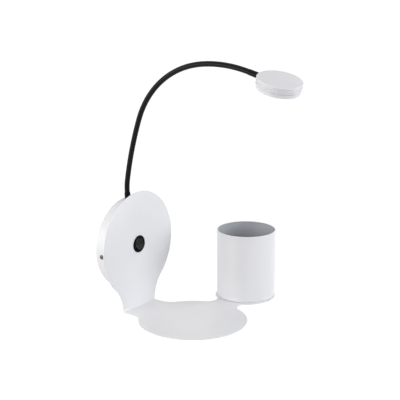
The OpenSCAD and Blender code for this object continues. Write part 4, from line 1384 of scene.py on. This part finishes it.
@dataclass
class LightHead:
    """Flat round light head: grooved housing, lens ring and frosted diffuser."""

    outer_r: float = 27.5
    housing_h: float = 9.8
    ring_h: float = 3.8
    edge_r: float = 1.1
    wall: float = 2.7
    web: float = 3.0
    axis_drop: float = 5.8
    grooves: int = 3
    groove_first: float = 1.9
    groove_pitch: float = 2.3
    groove_w: float = 1.0
    groove_deep: float = 1.0
    ring_step: float = 1.1
    gap_h: float = 1.1
    gap_deep: float = 2.2
    gap_lip: float = 0.6
    lip: float = 0.9
    lip_w: float = 1.5
    boss_w: float = 9.0
    boss_in: float = 10.0
    ferrule_hole_r: float = 2.55

    @property
    def inner_r(self) -> float:
        """Radius of the housing's hollow."""
        return self.outer_r - self.wall

    @property
    def boss_face(self) -> float:
        """Distance from the middle to the face of the boss that takes the ferrule."""
        return self.inner_r - self.boss_in

    def place(self, neck: FlexibleNeck) -> Matrix:
        """The head's frame: the middle of its top, +Z its upper side, +Y towards the neck."""
        ahead = neck.top_ferrule_len + self.outer_r
        return neck.end() @ Matrix.Translation((0, self.axis_drop, ahead)) @ Matrix.Rotation(
            math.radians(-90), 4, "X")

    def housing(self, place: Matrix) -> bpy.types.Object:
        """Makes the housing with its grooves, its hollow and the boss for the ferrule."""
        corners = [Corner(0, 0), Corner(self.outer_r, 0, self.edge_r)]
        for i in range(self.grooves):
            z = -self.groove_first - i * self.groove_pitch
            half, bottom = self.groove_w / 2, self.outer_r - self.groove_deep
            corners += [
                Corner(self.outer_r, z + half, 0.12), Corner(bottom, z + half / 2, 0.1),
                Corner(bottom, z - half / 2, 0.1), Corner(self.outer_r, z - half, 0.12),
            ]
        low = self.gap_lip - self.housing_h
        gap_r, ring_r = self.outer_r - self.gap_deep, self.outer_r - self.ring_step
        corners += [
            Corner(self.outer_r, low + self.gap_h, 0.15), Corner(gap_r, low + self.gap_h, 0.1),
            Corner(gap_r, low, 0.1), Corner(ring_r, low, 0.15), Corner(ring_r, -self.housing_h, 0.05),
            Corner(self.inner_r, -self.housing_h, 0.1), Corner(self.inner_r, -self.web, 0.5),
            Corner(0, -self.web),
        ]
        shell = turned("head_shell", rounded(corners, closed=False, steps=4), place, 200, closed=False)
        boss = block("boss", (-self.boss_w / 2, self.boss_face, -self.housing_h + 0.15),
                     (self.boss_w / 2, gap_r - 0.35, -self.web / 2), place)
        shell = joined(shell, boss, Join.ADD)
        bore = rod("bore", self.ferrule_hole_r, self.boss_face - 1, self.outer_r + 1,
                   place @ into_wall(0, 0, -self.axis_drop))
        return smoothed(joined(shell, bore, Join.CUT), 32)

    def lens_ring(self, place: Matrix) -> bpy.types.Object:
        """Makes the ring that holds the diffuser."""
        bottom = -self.housing_h - self.ring_h
        ring_r = self.outer_r - self.ring_step
        spigot_r = self.inner_r - 0.1
        bore_r = spigot_r - 0.8
        outline = rounded([
            Corner(bore_r, 2 - self.housing_h), Corner(spigot_r, 2 - self.housing_h, 0.2),
            Corner(spigot_r, -self.housing_h), Corner(ring_r, -self.housing_h, 0.05),
            Corner(ring_r, bottom, 0.7),
            Corner(bore_r - self.lip_w, bottom, 0.3), Corner(bore_r - self.lip_w, bottom + self.lip, 0.1),
            Corner(bore_r, bottom + self.lip),
        ])
        ring = turned("lens_ring_cover", outline, place, 200)
        notch = self.boss_w / 2 + 1
        room = block("room", (-notch, 0, -self.housing_h), (notch, self.outer_r, 0), place)
        return smoothed(joined(ring, room, Join.CUT), 32)

    def diffuser(self, place: Matrix) -> bpy.types.Object:
        """Makes the frosted disc, slightly domed where it faces the shelf."""
        low = -self.housing_h - self.ring_h + self.lip
        radius = self.inner_r - 1.0
        seat = self.lip_w + 0.3
        outline = rounded([
            Corner(0, low + 1.6), Corner(radius, low + 1.6, 0.2), Corner(radius, low, 0.1),
            Corner(radius - seat, low, 0.4), Corner(radius - seat - 1.2, low - 0.45, 1.5),
            Corner(0, low - 0.55),
        ], closed=False)
        return smoothed(turned("diffuser_disc", outline, place, 160, closed=False), 40)

    def build(self, finishes: Finishes, neck: FlexibleNeck) -> None:
        """Adds the head to the scene."""
        place = self.place(neck)
        shown(self.housing(place), finishes.head_white, ["head_housing"], "head")
        shown(self.lens_ring(place), finishes.head_white, ["lens_ring"], "head")
        shown(self.diffuser(place), finishes.frost, ["diffuser"], "head")


# ---- Pen cup ----


@dataclass
class PenCup:
    """Spun metal cup with a rolled rim, a band under it and a bead above its foot."""

    outer_r: float = 40.0
    height: float = 93.0
    wall: float = 0.8
    curl_r: float = 0.9
    body_r: float = 39.7
    band_r: float = 39.88
    band_from: float = 86.5
    bead_at: float = 3.2
    foot_r: float = 1.7
    side: float = 123.3
    drop: float = 86.4
    reach: float = 88.5
    hole_r: float = 2.1
    plate_t: float = 1.5
    plate_screw: Screw = Screw(2.0, 5.5, 3.5, 2.2)

    def place(self) -> Matrix:
        """The cup's frame: the middle of its foot."""
        return Matrix.Translation((self.side, FRONT_Y - self.reach, -self.drop))

    def shape(self, finishes: Finishes) -> bpy.types.Object:
        """Makes the cup as one closed wall, with painted shade in darker bluish grey on its inside.

        Args:
            finishes: the lamp's finishes.

        Returns:
            The cup.
        """
        inside = self.body_r - self.wall
        curl_z = self.height - self.curl_r
        curl = arc((self.outer_r - self.curl_r, curl_z), self.curl_r, 0, 205, 16)
        outside = [
            Corner(self.hole_r, 0), Corner(self.body_r, 0, self.foot_r),
            Corner(self.body_r, self.bead_at - 0.7, 0.2), Corner(self.outer_r - 0.05, self.bead_at, 0.4),
            Corner(self.body_r, self.bead_at + 0.7, 0.2),
            Corner(self.body_r, self.band_from, 0.3), Corner(self.band_r, self.band_from + 0.4, 0.3),
            Corner(self.band_r, curl_z - 0.4),
        ]
        inner = [
            Corner(inside, curl_z - 1.2, 0.2), Corner(inside, self.wall, 1.0),
            Corner(self.hole_r, self.wall),
        ]
        outline = rounded(outside, closed=False) + curl + rounded(inner, closed=False)
        cup = smoothed(turned("spun_cup", outline, self.place(), 200), 35)
        cup.data.materials.append(finishes.white)
        cup.data.materials.append(finishes.inside_painted_shade)
        # The faces inside the cup take the painted shade, a darker bluish grey.
        back = self.place().inverted()
        for face in cup.data.polygons:
            middle = back @ (face.center / MM)
            within = math.hypot(middle.x, middle.y) < inside + self.curl_r * 0.4
            if within and middle.z > self.wall * 0.9:
                face.material_index = 1
        return cup

    def acorn_nut(self) -> bpy.types.Object:
        """Makes the domed nut on the cup's floor."""
        hexagon = Nut(7.0, 3.2, 1.0).shape()
        dome = turned("dome", rounded([
            Corner(0, 2.9), Corner(3.3, 2.9), Corner(3.3, 3.4, 0.1), Corner(2.7, 5.0, 1.4), Corner(0, 5.0),
        ], closed=False), None, 64, closed=False)
        nut = joined(hexagon, dome, Join.ADD)
        return smoothed(joined(nut, rod("bore", 2.05, -1, 3.4), Join.CUT), 28)

    def build(self, finishes: Finishes) -> None:
        """Adds the cup with its screw and its domed nut."""
        shown(self.shape(finishes), None, ["pen_cup"])
        floor = self.place() @ Matrix.Translation((0, 0, self.wall))
        fastened("acorn_nut", self.acorn_nut(), [floor], finishes.steel, "cap_nut")
        under = self.place() @ Matrix.Translation((0, 0, -self.plate_t)) @ Matrix.Rotation(math.pi, 4, "X")
        fastened("plate_screw", self.plate_screw.shape(), [under], finishes.steel, "cup_screw")


# ---- Wiring in the canopy ----


@dataclass(frozen=True)
class Lead:
    """One lead along a cubic curve, in the canopy's frame."""

    name: str
    colour: Colour
    radius: float
    handles: tuple[Place, Place, Place, Place]

    def points(self) -> list[Place]:
        """Points along the curve."""
        a, b, c, d = (Vector(h) for h in self.handles)
        found = []
        for i in range(41):
            t = i / 40
            s = 1 - t
            found.append(tuple(a * s ** 3 + b * (3 * t * s * s) + c * (3 * t * t * s) + d * t ** 3))
        return found


@dataclass
class Wiring:
    """The leads in the canopy and the screws of the terminal block and the driver."""

    web_y: float = -19.8
    pole_y: float = -10.0
    pole_x: tuple[float, float, float] = (-25.5, -17.0, -8.5)
    block_z: float = 20.0
    blade_y: float = -6.5
    driver_z: float = -22.0
    stem_z: float = 52.0
    clamp_y: float = -8.1
    clamp_up: float = 7.0
    clamp_apart: float = 3.5
    cover_y: float = -5.1
    cover_side: float = 18.0
    cover_down: float = 12.0
    clamp_screw: Screw = Screw(1.3, 0.4, 1.65, 1.4, Drive.SLOT)
    cover_screw: Screw = Screw(1.2, 5.0, 2.2, 1.4)

    def leads(self) -> list[Lead]:
        """The five leads: two live, one neutral, one to earth and the pair to the head."""
        low, near = self.block_z - 0.1, self.driver_z + 0.1
        y, x = self.pole_y, self.pole_x
        brown, blue = (0.16, 0.06, 0.02), (0.02, 0.08, 0.42)
        green, black = (0.22, 0.42, 0.05), (0.02, 0.02, 0.02)
        tag = (11.9, self.web_y + 1.0, 18.8)
        return [
            Lead("live_lead", brown, 0.9, ((x[1], y, low), (x[1], y, low / 2),
                                           (-10, self.blade_y, 6), (-2.5, self.blade_y, 6))),
            Lead("switched_lead", brown, 0.9, ((2.5, self.blade_y, -6), (7.5, self.blade_y, -6),
                                               (10, y, near * 2 / 3), (10, y, near))),
            Lead("neutral_lead", blue, 0.9, ((x[0], y, low), (x[0], y, low / 5),
                                             (-14, y, near / 3), (-14, y, near))),
            Lead("earth_lead", green, 0.9, ((x[2], y, low), (x[2], y, low * 3 / 4),
                                            (3.5, tag[1] + 1, low * 2 / 3), tag)),
            Lead("head_pair", black, 1.2, ((16, y, near), (16, y, low / 2),
                                           (0, -9.7, low), (0, -9.7, self.stem_z - 0.1))),
        ]

    def build(self, finishes: Finishes) -> None:
        """Adds the leads and the screws."""
        tree = sweep_tree()
        tubes = []
        for lead in self.leads():
            path = path_object(lead.points(), on_canopy())
            tubes.append(smoothed(tree.run(
                path, lead.name, Radius=lead.radius * MM, Rib_Depth=0.0, Rib_Fullness=1.0, Ribs=8,
                Rings_Per_Rib=6, Sides=20, Fill_Caps=True, Finish=sleeve(lead.name, lead.colour),
            ), 50))
        shown(gathered("canopy_wiring", tubes), None, ["canopy_leads"])
        clamp_z = self.block_z + self.clamp_up
        clamps = [on_canopy() @ into_wall(x, self.clamp_y, clamp_z + side * self.clamp_apart)
                  for x in self.pole_x for side in (-1, 1)]
        fastened("terminal_screws", self.clamp_screw.shape(), clamps, finishes.steel, "clamp_screws")
        middle = self.driver_z - self.cover_down
        cover = [on_canopy() @ into_wall(side * self.cover_side, self.cover_y, middle) for side in (-1, 1)]
        fastened("driver_cover_screws", self.cover_screw.shape(), cover, finishes.zinc, "driver_screws")


# ---- Pieces kept as packed ----


def dress_packed(finishes: Finishes) -> None:
    """Gives each piece that is shown as packed its finish."""
    wear = {
        "wall_bracket": finishes.zinc, "bracket_tabs": finishes.zinc,
        "bracket_inserts": finishes.steel, "cable_grommet": finishes.rubber,
        "switch_blades": finishes.brass, "rocker_pin": finishes.steel, "driver_pad": finishes.pad,
        "driver_tray": finishes.case, "driver_board": finishes.green, "driver_parts": finishes.parts,
        "driver_cover": finishes.case, "terminal_block": finishes.ivory, "earth_tag": finishes.brass,
        "root_washer": finishes.zinc, "grub_screw": finishes.steel, "heat_pad": finishes.pad,
        "light_board": finishes.board, "light_chips": finishes.phosphor, "board_screws": finishes.steel,
        "head_leads": sleeve("head_lead", (0.3, 0.03, 0.02)), "reflector": finishes.reflector,
    }
    for name, finish in wear.items():
        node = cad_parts[name]
        if node.material_slots:
            for place in node.material_slots:
                place.material = finish
        else:
            node.data.materials.append(finish)
        LOG.info("%s: dressed as %s", name, finish.name)


# ---- Camera, light and floor ----


@dataclass
class Studio:
    """The camera of the photograph, soft light and a plain pale floor."""

    camera_at: Place = (-1.1638, -0.9663, 0.4547)
    azimuth: float = -54.056
    elevation: float = 14.781
    lens: float = 106.25
    floor_z: float = -1.3
    floor_half: float = 20.0
    sky: float = 0.39
    floor_lift: float = 0.72
    aim: Place = (0.03, -0.1, 0.05)
    lamps: tuple[tuple[str, Place, float, float, Colour], ...] = (
        ("left_behind", (-1.102, 0.85, 0.31), 0.9, 6.2, (1.0, 1.0, 1.0)),
        ("left", (-1.425, 0.157, 0.31), 0.7, 8.0, (1.0, 1.0, 1.0)),
        ("right_front", (0.7, -1.536, 0.273), 0.9, 15.2, (0.92, 0.955, 1.0)),
        ("high_front", (-0.264, -0.908, 1.279), 1.0, 2.9, (1.0, 1.0, 1.0)),
        ("top", (0.03, -0.222, 1.445), 1.1, 1.9, (1.0, 0.985, 0.95)),
    )

    def camera(self) -> None:
        """Adds the camera at the photograph's place and viewing angle."""
        data = bpy.data.cameras.new("camera")
        data.sensor_width = 36.0
        data.lens = self.lens
        data.clip_end = 100.0
        camera = linked("camera", data)
        a, e = math.radians(self.azimuth), math.radians(self.elevation)
        back = Vector((math.sin(a) * math.cos(e), -math.cos(a) * math.cos(e), math.sin(e)))
        camera.location = self.camera_at
        camera.rotation_mode = "QUATERNION"
        camera.rotation_quaternion = (-back).to_track_quat("-Z", "Y")
        bpy.context.scene.camera = camera

    def lamp(self, name: str, at: Place, size: float, power: float, colour: Colour) -> None:
        """Adds one soft lamp that faces the aim.

        Args:
            name: the lamp's name.
            at: where it stands, in metres.
            size: the side of its square.
            power: its power in watts.
            colour: its colour.
        """
        data = bpy.data.lights.new(name, "AREA")
        data.shape = "SQUARE"
        data.size = size
        data.energy = power
        data.color = colour
        lamp = linked(name, data)
        lamp.location = at
        lamp.rotation_mode = "QUATERNION"
        lamp.rotation_quaternion = (Vector(self.aim) - Vector(at)).to_track_quat("-Z", "Y")

    @staticmethod
    def seen_directly(tree: bpy.types.NodeTree) -> bpy.types.NodeSocket:
        """1 for camera, glossy and transmission rays, and 0 for the rays that carry light."""
        rays = tree.nodes.new("ShaderNodeLightPath")
        found = rays.outputs["Is Camera Ray"]
        for other in ("Is Glossy Ray", "Is Transmission Ray"):
            node = tree.nodes.new("ShaderNodeMath")
            node.operation = "MAXIMUM"
            tree.links.new(found, node.inputs[0])
            tree.links.new(rays.outputs[other], node.inputs[1])
            found = node.outputs[0]
        return found

    def world(self) -> None:
        """Adds a white surround that lights the lamp less than it shows."""
        world = bpy.data.worlds.new("surround")
        world.use_nodes = True
        bpy.context.scene.world = world
        tree = world.node_tree
        tree.nodes.clear()
        light = tree.nodes.new("ShaderNodeBackground")
        light.inputs["Color"].default_value = (0.985, 0.99, 1.0, 1.0)
        light.inputs["Strength"].default_value = self.sky
        white = tree.nodes.new("ShaderNodeBackground")
        white.inputs["Color"].default_value = (1.0, 1.0, 1.0, 1.0)
        mix = tree.nodes.new("ShaderNodeMixShader")
        out = tree.nodes.new("ShaderNodeOutputWorld")
        tree.links.new(self.seen_directly(tree), mix.inputs[0])
        tree.links.new(light.outputs[0], mix.inputs[1])
        tree.links.new(white.outputs[0], mix.inputs[2])
        tree.links.new(mix.outputs[0], out.inputs[0])

    def floor(self) -> None:
        """Adds the pale floor, lifted to white where it is seen and still in the lamp's shadow."""
        half = self.floor_half
        mesh = bpy.data.meshes.new("floor")
        corners = ((-1, -1), (1, -1), (1, 1), (-1, 1))
        mesh.from_pydata([(x * half, y * half, self.floor_z) for x, y in corners], [], [(0, 1, 2, 3)])
        floor = linked("floor", mesh)
        material = bpy.data.materials.new("floor_pale")
        material.use_nodes = True
        tree = material.node_tree
        surface = next(n for n in tree.nodes if n.type == "BSDF_PRINCIPLED")
        surface.inputs["Base Color"].default_value = (0.85, 0.85, 0.85, 1.0)
        surface.inputs["Roughness"].default_value = 0.9
        surface.inputs["Specular IOR Level"].default_value = 0.1
        surface.inputs["Emission Color"].default_value = (1.0, 1.0, 1.0, 1.0)
        lift = tree.nodes.new("ShaderNodeMath")
        lift.operation = "MULTIPLY"
        lift.inputs[1].default_value = self.floor_lift
        tree.links.new(self.seen_directly(tree), lift.inputs[0])
        tree.links.new(lift.outputs[0], surface.inputs["Emission Strength"])
        mesh.materials.append(material)

    def build(self) -> None:
        """Sets the view, the camera, the light and the floor."""
        bpy.context.scene.view_settings.view_transform = "Standard"
        self.camera()
        self.world()
        self.floor()
        for name, at, size, power, colour in self.lamps:
            self.lamp(name, at, size, power, colour)


def main() -> None:
    """Builds the lamp in its frame, one sub-assembly after the other."""
    logging.basicConfig(level=logging.INFO, format="%(name)s %(message)s")
    Studio().build()
    finishes = Finishes()
    sheet, neck, head = FoldedSheet(), FlexibleNeck(), LightHead()
    sheet.build(finishes)
    Canopy().build(finishes, sheet)
    RockerSwitch().build(finishes)
    neck.build(finishes, head)
    head.build(finishes, neck)
    PenCup().build(finishes)
    Wiring().build(finishes)
    dress_packed(finishes)


if __name__ == "__main__":
    main()
